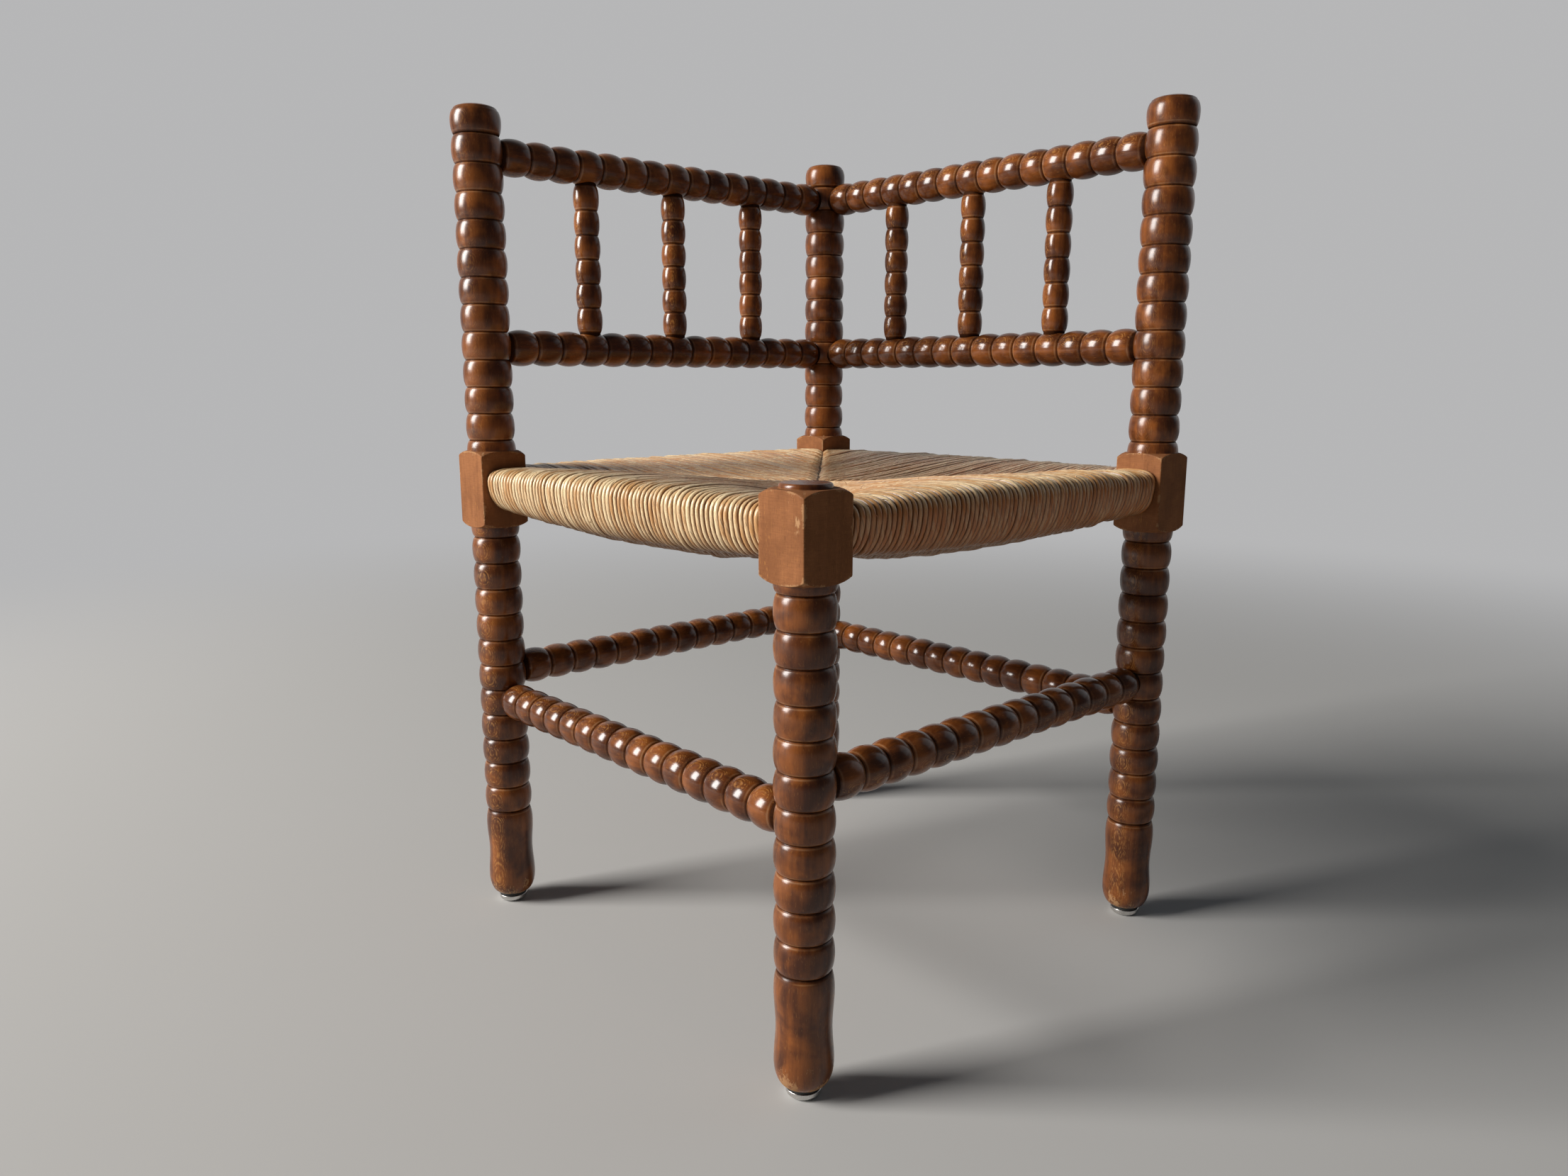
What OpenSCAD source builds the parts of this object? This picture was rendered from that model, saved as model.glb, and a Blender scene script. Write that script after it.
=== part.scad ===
// Corner chair with bobbin turned posts, rails and spindles, and a woven rush seat.
// The plan is a square with its posts on the axes: the low front post stands towards -Y,
// the tall rear post towards +Y, and the back runs along the two rear sides.
// Origin on the floor under the middle of the seat, +Z up, millimetres.

/* [Plan] */
// Distance between the centres of two neighbouring posts
side = 420; // [380:1:460]

/* [Posts] */
// Diameter of a ring of the post
post_ring_d = 43.2; // [41:0.2:45]
// Diameter at the groove between two rings
post_groove_d = 36.6; // [36:0.2:40]
// Height of one ring below the seat block
leg_ring_pitch = 24; // [22:0.1:26]
// Height of one ring above the seat block
back_ring_pitch = 23.7; // [22:0.1:26]
// Number of whole rings below the seat block
leg_rings = 11; // [9:1:13]
// Number of whole rings above the seat block
back_rings = 11; // [10:1:13]
// Height of the cap on a tall post
cap_h = 24; // [20:0.5:28]
// Height of the cap's widest part above its groove
cap_side_h = 12; // [8:0.5:14]
// Diameter of the flat on top of the cap
cap_flat_d = 27; // [22:0.5:32]

/* [Feet] */
// Height of the plain foot below the rings
foot_h = 85.5; // [70:0.5:100]
// Height of the foot's lower swelling above its sole
foot_belly_h = 18; // [14:0.5:24]
// Height of the foot's waist above its sole
foot_waist_h = 44.5; // [36:0.5:48]
// Height of the half ring at the top of the foot
foot_neck_h = 14.5; // [12:0.5:17]
// Diameter of the foot at its waist
foot_waist_d = 40.4; // [37:0.2:42]
// Diameter of the flat under the foot
foot_sole_d = 27; // [27:0.5:31]
// Further height of the front foot
front_foot_more = 2; // [0:0.25:4]
// Further height of each ring above the front foot
front_pitch_more = 0.3; // [0:0.05:0.5]

/* [Seat blocks] */
// Side of the square block that takes the seat rails
block_w = 44; // [43:0.5:47]
// Height of a block along its upright edges
block_edge_h = 60; // [54:1:66]
// Rise of the turned shoulder from an upright edge to the neck
shoulder_h = 4.5; // [3:0.25:6]
// Height of the half ring between a block and the first groove
neck_h = 9.5; // [8:0.25:11]
// Height of the front block's top edges above its middle
front_edge_h = 25; // [23:0.5:30]
// Rise of the front block's lower edges above those of the other blocks
front_low_rise = 2.5; // [0:0.25:4]
// Diameter of the button on top of the front post
button_d = 36; // [30:0.5:40]
// Height of the button on top of the front post
button_h = 3.5; // [2.5:0.25:6]

/* [Back rails] */
// Diameter of a bobbin of a back rail
rail_ring_d = 32.4; // [29:0.2:34]
// Diameter at the groove between two bobbins of a back rail
rail_groove_d = 24.8; // [23:0.2:28]
// Number of bobbins on a back rail
rail_rings = 15; // [15:2:17]
// Ring of the post, counted down from the cap, that takes the top rail
top_rail_ring = 1; // [1:1:2]
// Ring of the post, counted down from the cap, that takes the lower rail
lower_rail_ring = 8; // [7:1:9]
// Depth of the top rail below the middle of its ring
top_rail_drop = 2.2; // [0:0.1:3]
// Depth of the lower rail below the middle of its ring
lower_rail_drop = 1; // [0:0.1:3]

/* [Spindles] */
// Diameter of a bobbin of a spindle
spindle_ring_d = 24.4; // [22:0.2:26]
// Diameter at the groove between two bobbins of a spindle
spindle_groove_d = 19.6; // [18:0.2:20.4]
// Number of bobbins on a spindle
spindle_rings = 6; // [5:1:7]
// Bobbins of the rail from one spindle to the next
spindle_step = 4; // [3:1:4]
// Diameter of a spindle's tenon
spindle_tenon_d = 10; // [8:0.5:11]
// Length of a spindle's tenon
spindle_tenon_l = 6; // [4:0.5:7]

/* [Stretchers] */
// Diameter of a bobbin of a stretcher
stretcher_ring_d = 33; // [29:0.2:34]
// Diameter at the groove between two bobbins of a stretcher
stretcher_groove_d = 25; // [23:0.2:26]
// Number of bobbins on a stretcher
stretcher_rings = 15; // [13:1:17]
// Ring of the leg, counted down from the seat block, that takes the higher stretchers
high_stretcher_ring = 6; // [4:1:7]
// Height of a front stretcher above the middle of its ring
front_stretcher_rise = 2.4; // [0:0.25:4]
// Height of a rear stretcher above the middle of its ring
rear_stretcher_rise = 3.5; // [0:0.25:4]

/* [Joints] */
// Diameter of a rail's or stretcher's tenon
tenon_d = 14; // [12:0.5:14.5]
// Length of a back rail's tenon past its shoulder
rail_tenon_l = 8; // [6:0.5:8]
// Length of a stretcher's tenon past its shoulder
stretcher_tenon_l = 14; // [8:0.5:16]
// Clearance round and past a tenon
joint_gap = 0.1; // [0.05:0.05:0.2]
// Depth that a turned end sinks into the ring that carries it
end_sink = 0.6; // [0.4:0.1:1]

/* [Seat] */
// Diameter of a seat rail
seat_rail_d = 26; // [24:0.5:28]
// Diameter of a seat rail's tenon
seat_tenon_d = 15; // [13:0.5:16]
// Length of a seat rail's tenon
seat_tenon_l = 12.5; // [10:0.5:13]
// Clearance between the rush and the wood
rush_gap = 0.3; // [0.2:0.05:0.5]
// Reach of the rush past the middle of a seat rail, at a post
rush_reach = 17.5; // [16:0.25:20]
// Further reach of the rush in the middle of a side
rush_belly = 2; // [0:0.25:4]
// Height of the rush above the middle of the blocks, at a post
rush_top = 20; // [18:0.5:24]
// Further height of the rush in the middle of a front side
front_crown = 3.5; // [0:0.25:6]
// Further height of the rush in the middle of a rear side
rear_crown = 1; // [0:0.25:6]
// Depth of the middle of the seat below its corners
rush_dish = 11; // [4:0.5:16]
// Distance inside the middle of a seat rail at which the rush starts to turn over it
rush_turn = 9; // [6:0.5:12]
// Depth of the rush below the middle of the blocks, at a post
rush_bottom = 19; // [18:0.5:24]
// Further depth of the rush in the middle of a side
rush_sag = 7; // [0:0.25:8]
// Rise of the underside from the corners to the middle of the seat
rush_lift = 8; // [2:0.5:10]
// Swelling of the underside where it is stuffed
rush_swell = 12; // [2:0.5:14]
// Thickness of a stuffing pad
stuffing_h = 13; // [10:0.5:16]
// Distance from the middle of the seat to a stuffing pad
stuffing_in = 62; // [50:1:90]
// Distance that a stuffing pad keeps from the seams
stuffing_seam = 18; // [12:1:30]
// Depth of a stuffing pad's middle below the middle of the seat rails
stuffing_drop = 1.5; // [0:0.25:3]

/* [Glides] */
// Diameter of a glide's metal cup
cup_d = 26; // [24:0.5:27]
// Height of the metal cup
cup_h = 6; // [5:0.25:7]
// Height at which the side of the cup stands upright
cup_bend_h = 3.6; // [3:0.1:4.5]
// Thickness of the cup's metal
cup_wall = 0.8; // [0.6:0.1:1.2]
// Diameter of the flat under the cup
cup_flat_d = 15; // [12:0.5:18]
// Height of a whole glide, from the floor to the wood
glide_h = 9.5; // [8.5:0.25:11]
// Clearance between the cup and its cushion
cushion_gap = 0.2; // [0.1:0.05:0.4]
// Diameter of the nail's head
nail_head_d = 9; // [7:0.5:11]
// Thickness of the nail's head
nail_head_h = 1.2; // [0.8:0.1:1.6]
// Diameter of the nail's shank
nail_d = 2.4; // [2:0.1:3]
// Length of the nail in the wood
nail_l = 16; // [12:1:20]

/* [Hidden] */

// Colours, as the finished chair shows them
stained = "#6b3a1c";
bare_wood = "#c79a63";
rush_straw = "#b98f55";
stuffing_straw = "#8d7244";
nickel = "#c9c9c6";
black_rubber = "#1c1b1a";

$fn = 96;
// Flats that stand for the curve of one ring
ring_steps = 10;
// Flats that stand for the longer curves of a foot, cap or shoulder
curve_steps = 8;
// Power that shapes a shoulder: 1 is a straight cone, more is fuller
shoulder_power = 1.6;
// Power that shapes the outer face of the rush: 1 is an ellipse, less is squarer
face_power = 0.55;
// Power that shapes the upper and lower edges of that face: 1 is an ellipse, less is squarer
edge_power = 0.85;
// Lean of that face: how much further out its top stands than its middle, as a share of its reach
face_lean = 0.2;
// Power that places the swelling of the underside: 1 is halfway in, less is nearer the rail
swell_power = 0.6;
// Slack that lets a cut pass a face
over = 1;

// Numbers of the posts and of the sides, counted round the seat.
// Side n runs from post n to post n + 1, along that post's own +X.
FRONT = 0;
RIGHT = 1;
REAR = 2;
LEFT = 3;
FRONT_RIGHT = 0;
REAR_RIGHT = 1;
REAR_LEFT = 2;
FRONT_LEFT = 3;

post_r = post_ring_d / 2;
groove_r = post_groove_d / 2;
rail_r = rail_ring_d / 2;
block_crown_h = block_edge_h / 2 + shoulder_h;
block_corner_r = block_w / sqrt(2);

// Leg of post n: the front one has a longer foot and rings
function leg_foot_h(n) = foot_h + (n == FRONT ? front_foot_more : 0);
function leg_pitch(n) = leg_ring_pitch + (n == FRONT ? front_pitch_more : 0);

// Heights
leg_top = glide_h + foot_h + leg_rings * leg_ring_pitch;
block_z = leg_top + neck_h + block_crown_h;
back_foot = block_z + block_crown_h + neck_h;
back_top = back_foot + back_rings * back_ring_pitch;
top_rail_z = back_top - (top_rail_ring - 0.5) * back_ring_pitch - top_rail_drop;
lower_rail_z = back_top - (lower_rail_ring - 0.5) * back_ring_pitch - lower_rail_drop;
high_ring_z = leg_top - (high_stretcher_ring - 0.5) * leg_ring_pitch;
low_ring_z = high_ring_z - leg_ring_pitch;
seat_rail_z = block_z;

// Height of the stretcher on side n: the high ones are on the front right and the rear left
function stretcher_z(n) =
    (n % 2 == 0 ? high_ring_z : low_ring_z)
    + (n == FRONT_RIGHT || n == FRONT_LEFT ? front_stretcher_rise : rear_stretcher_rise);
function low_edge_z(n) = block_z - block_edge_h / 2 + (n == FRONT ? front_low_rise : 0);

// Distance from a post's axis at which a round end of radius r is sunk all round
function socket_floor(ring_r, r) = sqrt(ring_r * ring_r - r * r) - end_sink;
rail_floor = socket_floor(post_r, rail_groove_d / 2);
stretcher_floor = socket_floor(post_r, stretcher_groove_d / 2);
spindle_floor = socket_floor(rail_r, spindle_groove_d / 2);

// Pitch of the bobbins, from the clear length between what carries them
rail_pitch = (side - 2 * (post_r - end_sink)) / rail_rings;
stretcher_pitch = (side - 2 * (post_r - end_sink)) / stretcher_rings;
spindle_pitch = (top_rail_z - lower_rail_z - 2 * (rail_r - end_sink)) / spindle_rings;

// Outline of a row of rings: half ellipses from groove to groove, upwards from z
function rings(z, count, pitch, small_r, big_r) = [
    for (n = [0 : count - 1], s = [0 : ring_steps - 1])
        let (a = 180 * s / ring_steps)
        [small_r + (big_r - small_r) * sin(a), z + n * pitch + pitch * (1 - cos(a)) / 2]
];

// Outline of a quarter ellipse from one point to another, leaving the first along z
function quarter(from, to, leave_upright = true) = [
    for (s = [0 : curve_steps])
        let (a = 90 * s / curve_steps)
        leave_upright
            ? [to.x + (from.x - to.x) * cos(a), from.y + (to.y - from.y) * sin(a)]
            : [from.x + (to.x - from.x) * sin(a), to.y + (from.y - to.y) * cos(a)]
];

// Outline of a wave from one point to another, upright at both
function wave(from, to) = [
    for (s = [1 : curve_steps])
        let (k = s / curve_steps)
        [from.x + (to.x - from.x) * (1 - cos(180 * k)) / 2, from.y + (to.y - from.y) * k]
];

// Places a child at post n, turned so that +X leads to the next post round the seat
module at_post(n) {
    rotate([0, 0, 90 * n - 90])
        translate([side / sqrt(2), 0, 0])
            rotate([0, 0, 135])
                children();
}

// Places a child at the middle of side n, its own Z along the side
module at_side(n, z) {
    at_post(n)
        translate([side / 2, 0, z])
            rotate([0, 90, 0])
                children();
}

// Turned work on its own axis

// Foot of post n, from the sole to the lowest groove
foot_belly_z = glide_h + foot_belly_h;
foot_waist_z = glide_h + foot_waist_h;
module foot(n) {
    top_z = glide_h + leg_foot_h(n);
    foot_shoulder_z = top_z - foot_neck_h;
    rotate_extrude()
        polygon(concat(
            [[0, glide_h]],
            quarter([foot_sole_d / 2, glide_h], [post_r, foot_belly_z], false),
            wave([post_r, foot_belly_z], [foot_waist_d / 2, foot_waist_z]),
            wave([foot_waist_d / 2, foot_waist_z], [post_r, foot_shoulder_z]),
            quarter([post_r, foot_shoulder_z], [groove_r, top_z]),
            [[0, top_z]]
        ));
}

// Rings of the leg of post n with the half ring under the block
module leg_column(n) {
    z = glide_h + leg_foot_h(n);
    top_z = z + leg_rings * leg_pitch(n);
    rotate_extrude()
        polygon(concat(
            [[0, z]],
            rings(z, leg_rings, leg_pitch(n), groove_r, post_r),
            quarter([groove_r, top_z], [post_r, low_edge_z(n) - shoulder_h], false),
            [[post_r, block_z], [0, block_z]]
        ));
}

// Half ring over the block, rings of the back post, and the cap
module back_column() {
    crown_z = block_z + block_crown_h;
    cap_side_z = back_top + cap_side_h;
    rotate_extrude()
        polygon(concat(
            [[0, crown_z - over], [post_r - over, crown_z - over], [post_r - over, crown_z]],
            quarter([post_r, crown_z], [groove_r, back_foot]),
            rings(back_foot, back_rings, back_ring_pitch, groove_r, post_r),
            quarter([groove_r, back_top], [post_r, cap_side_z], false),
            quarter([post_r, cap_side_z], [cap_flat_d / 2, back_top + cap_h]),
            [[0, back_top + cap_h]]
        ));
}

// The same points the other way round
function reversed(points) = [for (i = [len(points) - 1 : -1 : 0]) points[i]];

// Outline of a turned shoulder, from the upright edge of a square block in to its neck
function shoulder(edge_z, up) = [
    for (s = [0 : curve_steps])
        let (k = 1 - s / curve_steps)
        [post_r + (block_corner_r - post_r) * k, edge_z + up * shoulder_h * (1 - pow(k, shoulder_power))]
];

// Square block between turned shoulders, its upright edges ending at the two heights given
module block(low_edge_z, high_edge_z) {
    low_crown_z = low_edge_z - shoulder_h;
    high_crown_z = high_edge_z + shoulder_h;
    intersection() {
        translate([-block_w / 2, -block_w / 2, low_crown_z])
            cube([block_w, block_w, high_crown_z - low_crown_z]);
        rotate_extrude()
            polygon(concat(
                [[0, low_crown_z]],
                reversed(shoulder(low_edge_z, -1)),
                [[block_corner_r + over, low_edge_z], [block_corner_r + over, high_edge_z]],
                shoulder(high_edge_z, 1),
                [[0, high_crown_z]]
            ));
    }
}

// Round blind mortise along the post's +X: a seat for the end's full width, then the tenon's hole
module socket(z, end_r, floor_x, hole_r, hole_l) {
    translate([floor_x, 0, z])
        rotate([0, 90, 0])
            cylinder(r = end_r + joint_gap, h = post_r + over);
    translate([floor_x - hole_l - joint_gap, 0, z])
        rotate([0, 90, 0])
            cylinder(r = hole_r + joint_gap, h = post_r + over);
}

module rail_socket(z) {
    socket(z, rail_groove_d / 2, rail_floor, tenon_d / 2, rail_tenon_l);
}

module stretcher_socket(z) {
    socket(z, stretcher_groove_d / 2, stretcher_floor, tenon_d / 2, stretcher_tenon_l);
}

module seat_socket() {
    translate([block_w / 2 - seat_tenon_l - joint_gap, 0, seat_rail_z])
        rotate([0, 90, 0])
            cylinder(d = seat_tenon_d + 2 * joint_gap, h = block_w);
}

module nail_hole() {
    translate([0, 0, glide_h - over])
        cylinder(d = nail_d + 2 * joint_gap, h = over + nail_l + joint_gap);
}

// Turns a child from the post's +X, where side n starts, to +Y, where the side before it ends
module to_previous_side() {
    rotate([0, 0, 90])
        children();
}

// Everything that is cut into the leg and the block of post n
module leg_sockets(n) {
    seat_socket();
    to_previous_side()
        seat_socket();
    stretcher_socket(stretcher_z(n));
    to_previous_side()
        stretcher_socket(stretcher_z((n + 3) % 4));
    nail_hole();
}

// The sockets of both back rails
module back_sockets() {
    rail_socket(top_rail_z);
    rail_socket(lower_rail_z);
}

// Foot, leg and block of post n, with room for the rails and the glide's nail
module leg(n, high_edge_z) {
    difference() {
        union() {
            foot(n);
            leg_column(n);
            block(low_edge_z(n), high_edge_z);
        }
        leg_sockets(n);
    }
}

// A post with no back over it, ended by a low button
module low_post(n) {
    high_edge_z = block_z + front_edge_h;
    crown_z = high_edge_z + shoulder_h;
    color(stained)
        at_post(n) {
            leg(n, high_edge_z);
            rotate_extrude()
                polygon(concat(
                    [[0, crown_z - over], [button_d / 2, crown_z - over]],
                    quarter([button_d / 2, crown_z], [button_d / 2 - button_h / 2, crown_z + button_h]),
                    [[0, crown_z + button_h]]
                ));
        }
}

// A post that carries the back on its +X side, on its +Y side or on both
module tall_post(n, back_next, back_previous) {
    color(stained)
        at_post(n) {
            leg(n, block_z + block_edge_h / 2);
            difference() {
                back_column();
                if (back_next)
                    back_sockets();
                if (back_previous)
                    to_previous_side()
                        back_sockets();
            }
        }
}

module front_post() {
    low_post(FRONT);
}

module right_post() {
    tall_post(RIGHT, true, false);
}

module rear_post() {
    tall_post(REAR, true, true);
}

module left_post() {
    tall_post(LEFT, false, true);
}

// Turned bar along Z, centred: a row of bobbins between plain round ends and their tenons
module bobbin_bar(count, pitch, groove_d, ring_d, end_z, end_tenon_d, end_tenon_l) {
    row = count * pitch / 2;
    rotate_extrude()
        polygon(concat(
            [[0, -end_z - end_tenon_l], [end_tenon_d / 2, -end_z - end_tenon_l]],
            [[end_tenon_d / 2, -end_z], [groove_d / 2, -end_z]],
            rings(-row, count, pitch, groove_d / 2, ring_d / 2),
            [[groove_d / 2, row], [groove_d / 2, end_z], [end_tenon_d / 2, end_z]],
            [[end_tenon_d / 2, end_z + end_tenon_l], [0, end_z + end_tenon_l]]
        ));
}

// Blind holes for three spindles, seen from the middle of a rail along its side's +X
module spindle_sockets(upwards) {
    for (step = [-1 : 1])
        translate([step * spindle_step * rail_pitch, 0, 0])
            rotate([upwards ? 0 : 180, 0, 0]) {
                translate([0, 0, spindle_floor])
                    cylinder(d = spindle_groove_d + 2 * joint_gap, h = rail_r);
                translate([0, 0, spindle_floor - spindle_tenon_l - joint_gap])
                    cylinder(d = spindle_tenon_d + 2 * joint_gap, h = rail_r);
            }
}

// Back rail on side n at height z, with its spindles above it or below it
module back_rail(n, z, upwards) {
    color(stained)
        difference() {
            at_side(n, z)
                bobbin_bar(rail_rings, rail_pitch, rail_groove_d, rail_ring_d,
                    side / 2 - rail_floor, tenon_d, rail_tenon_l);
            at_post(n)
                translate([side / 2, 0, z])
                    spindle_sockets(upwards);
        }
}

module left_top_rail() {
    back_rail(REAR_LEFT, top_rail_z, false);
}

module right_top_rail() {
    back_rail(REAR_RIGHT, top_rail_z, false);
}

module left_lower_rail() {
    back_rail(REAR_LEFT, lower_rail_z, true);
}

module right_lower_rail() {
    back_rail(REAR_RIGHT, lower_rail_z, true);
}

// Spindle on side n, that many steps from the side's middle towards the next post
module spindle(n, steps) {
    middle_z = (top_rail_z + lower_rail_z) / 2;
    color(stained)
        at_post(n)
            translate([side / 2 + steps * spindle_step * rail_pitch, 0, middle_z])
                bobbin_bar(spindle_rings, spindle_pitch, spindle_groove_d, spindle_ring_d,
                    top_rail_z - middle_z - spindle_floor, spindle_tenon_d, spindle_tenon_l);
}

module left_outer_spindle() {
    spindle(REAR_LEFT, 1);
}

module left_middle_spindle() {
    spindle(REAR_LEFT, 0);
}

module left_inner_spindle() {
    spindle(REAR_LEFT, -1);
}

module right_outer_spindle() {
    spindle(REAR_RIGHT, -1);
}

module right_middle_spindle() {
    spindle(REAR_RIGHT, 0);
}

module right_inner_spindle() {
    spindle(REAR_RIGHT, 1);
}

module stretcher(n) {
    color(stained)
        at_side(n, stretcher_z(n))
            bobbin_bar(stretcher_rings, stretcher_pitch, stretcher_groove_d, stretcher_ring_d,
                side / 2 - stretcher_floor, tenon_d, stretcher_tenon_l);
}

module front_left_stretcher() {
    stretcher(FRONT_LEFT);
}

module front_right_stretcher() {
    stretcher(FRONT_RIGHT);
}

module rear_left_stretcher() {
    stretcher(REAR_LEFT);
}

module rear_right_stretcher() {
    stretcher(REAR_RIGHT);
}

// Round bar between two blocks, hidden in the rush, with a tenon in each block
module seat_rail(n) {
    clear_l = side - block_w;
    color(bare_wood)
        at_side(n, seat_rail_z) {
            cylinder(d = seat_rail_d, h = clear_l, center = true);
            cylinder(d = seat_tenon_d, h = clear_l + 2 * seat_tenon_l, center = true);
        }
}

module front_left_seat_rail() {
    seat_rail(FRONT_LEFT);
}

module front_right_seat_rail() {
    seat_rail(FRONT_RIGHT);
}

module rear_left_seat_rail() {
    seat_rail(REAR_LEFT);
}

module rear_right_seat_rail() {
    seat_rail(REAR_RIGHT);
}

// Rush seat: four triangular fields that meet on the diagonals.
// In a field, x runs along the rail from its middle and y outwards from the middle of the seat.
// Field q: 0 is rear left, 1 front left, 2 front right and 3 rear right.
// A section starts at the seam on top, goes out over the rail and comes back under it to the seam below.
half_columns = 6;
flat_steps = 4;
roll_steps = 8;
section_steps = 2 * flat_steps + roll_steps;
rush_end = side / 2 - block_w / 2 - rush_gap;
roll_y = side / 2 - rush_turn;

// 1 in the middle of a side, 0 at the posts
function middle(x) = 1 - pow(x / rush_end, 2);
function seam_top(x) = block_z + rush_top - rush_dish * middle(x);
function seam_bottom(x) = block_z - rush_bottom + rush_lift * middle(x);
function crest(q, x) = block_z + rush_top + (q == 1 || q == 2 ? front_crown : rear_crown) * middle(x);
function trough(x) = block_z - rush_bottom - rush_sag * middle(x);
function reach(x) = side / 2 + rush_reach + rush_belly * middle(x);

// Smooth step from 0 to 1
function ease(k) = (1 - cos(180 * k)) / 2;

// Section at x, k from 0 to 1: over the top, round the rail, and back underneath
function top_point(q, x, k) = [
    x,
    abs(x) + (roll_y - abs(x)) * k,
    seam_top(x) + (crest(q, x) - seam_top(x)) * ease(k)
];
function roll_point(q, x, k) =
    let (
        a = 90 - 180 * k,
        half = (crest(q, x) - trough(x)) / 2,
        out = pow(cos(a), face_power) * (1 + face_lean * sin(a))
    )
    [
        x,
        roll_y + (reach(x) - roll_y) * out,
        trough(x) + half * (1 + sign(sin(a)) * pow(abs(sin(a)), edge_power))
    ];
function swelling(x, k) = rush_swell * sin(180 * pow(k, swell_power)) * middle(x);
function under_point(x, k) = [
    x,
    roll_y + (abs(x) - roll_y) * k,
    trough(x) + (seam_bottom(x) - trough(x)) * ease(k) - swelling(x, k)
];
function section_point(q, x, j) =
    j <= flat_steps
        ? top_point(q, x, j / flat_steps)
        : j < flat_steps + roll_steps
            ? roll_point(q, x, (j - flat_steps) / roll_steps)
            : under_point(x, (j - flat_steps - roll_steps) / flat_steps);

// A field's point turned into field q, by whole quarters
function turned(p, q) =
    q == 0 ? p : q == 1 ? [-p.y, p.x, p.z] : q == 2 ? [-p.x, -p.y, p.z] : [p.y, -p.x, p.z];

// Distance along the rail of column i of a field
function column_x(i) = rush_end * (i - half_columns) / half_columns;

// The middle of the seat and the seams are shared, so they come before each field's own points
centre_points = [section_point(0, 0, 0), section_point(0, 0, section_steps)];
seam_points = [
    for (q = [0 : 3], m = [1 : half_columns], j = [0, section_steps])
        turned(section_point(q, column_x(half_columns + m), j), q)
];
own_points = [
    for (q = [0 : 3], i = [0 : 2 * half_columns], j = [1 : section_steps - 1])
        turned(section_point(q, column_x(i), j), q)
];
rush_points = concat(centre_points, seam_points, own_points);

function seam_index(q, m, below) =
    m == 0 ? below : len(centre_points) + (q * half_columns + m - 1) * 2 + below;
function own_index(q, i, j) =
    len(centre_points) + len(seam_points)
    + (q * (2 * half_columns + 1) + i) * (section_steps - 1) + j - 1;

// A field owns the seam on its right, and the one on its left is the next field's
function rush_index(q, i, j) =
    j > 0 && j < section_steps
        ? own_index(q, i, j)
        : let (below = j == 0 ? 0 : 1)
            i >= half_columns
                ? seam_index(q, i - half_columns, below)
                : seam_index((q + 1) % 4, half_columns - i, below);

// Two triangles between neighbouring columns of field q
function strip(q, i, j) = [
    [rush_index(q, i, j), rush_index(q, i, j + 1), rush_index(q, i + 1, j + 1)],
    [rush_index(q, i, j), rush_index(q, i + 1, j + 1), rush_index(q, i + 1, j)]
];

// Flat end of field q beside a block: a ladder from the top of the section to its underside
function end_face(q, i) = [
    for (j = [0 : section_steps / 2 - 1])
        let (
            top = [rush_index(q, i, j), rush_index(q, i, j + 1)],
            below = [rush_index(q, i, section_steps - j), rush_index(q, i, section_steps - j - 1)]
        )
        each top[1] == below[1]
            ? [[top[0], top[1], below[0]]]
            : [[top[0], top[1], below[0]], [top[1], below[1], below[0]]]
];

rush_faces = [
    for (q = [0 : 3]) each concat(
        [for (i = [0 : 2 * half_columns - 1], j = [0 : section_steps - 1]) each strip(q, i, j)],
        [for (face = end_face(q, 0)) reversed(face)],
        end_face(q, 2 * half_columns)
    )
];

// Plan of a stuffing pad between two distances from the middle of the seat, widened by grow
stuffing_out = side / 2 - seat_rail_d / 2 - rush_gap;
stuffing_z = block_z - stuffing_drop - stuffing_h / 2;
module stuffing_plan(in_y, out_y, grow) {
    in_x = in_y - stuffing_seam + grow;
    out_x = out_y - stuffing_seam + grow;
    polygon([[-in_x, in_y], [in_x, in_y], [out_x, out_y], [-out_x, out_y]]);
}

module rush_seat() {
    color(rush_straw)
        difference() {
            rotate([0, 0, 45])
                polyhedron(points = rush_points, faces = rush_faces, convexity = 8);
            for (n = [0 : 3])
                at_side(n, seat_rail_z)
                    cylinder(d = seat_rail_d + 2 * rush_gap, h = side - block_w, center = true);
            for (q = [0 : 3])
                rotate([0, 0, 45 + 90 * q])
                    translate([0, 0, stuffing_z - rush_gap])
                        linear_extrude(stuffing_h + 2 * rush_gap)
                            stuffing_plan(stuffing_in - rush_gap, side / 2, 2 * rush_gap);
        }
}

// Pad of loose straw between the two layers of field q
module stuffing(q) {
    color(stuffing_straw)
        rotate([0, 0, 45 + 90 * q])
            translate([0, 0, stuffing_z])
                linear_extrude(stuffing_h)
                    stuffing_plan(stuffing_in, stuffing_out, 0);
}

module rear_left_stuffing() {
    stuffing(0);
}

module front_left_stuffing() {
    stuffing(1);
}

module front_right_stuffing() {
    stuffing(2);
}

module rear_right_stuffing() {
    stuffing(3);
}

// Glide under each foot: a metal cup nailed up through a rubber cushion

module glide_cup(n) {
    side_r = cup_d / 2;
    flat_r = cup_flat_d / 2;
    color(nickel)
        at_post(n)
            rotate_extrude()
                polygon(concat(
                    [[0, 0]],
                    quarter([flat_r, 0], [side_r, cup_bend_h], false),
                    [[side_r, cup_h], [side_r - cup_wall, cup_h]],
                    reversed(quarter([flat_r, cup_wall], [side_r - cup_wall, cup_bend_h], false)),
                    [[0, cup_wall]]
                ));
}

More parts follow.
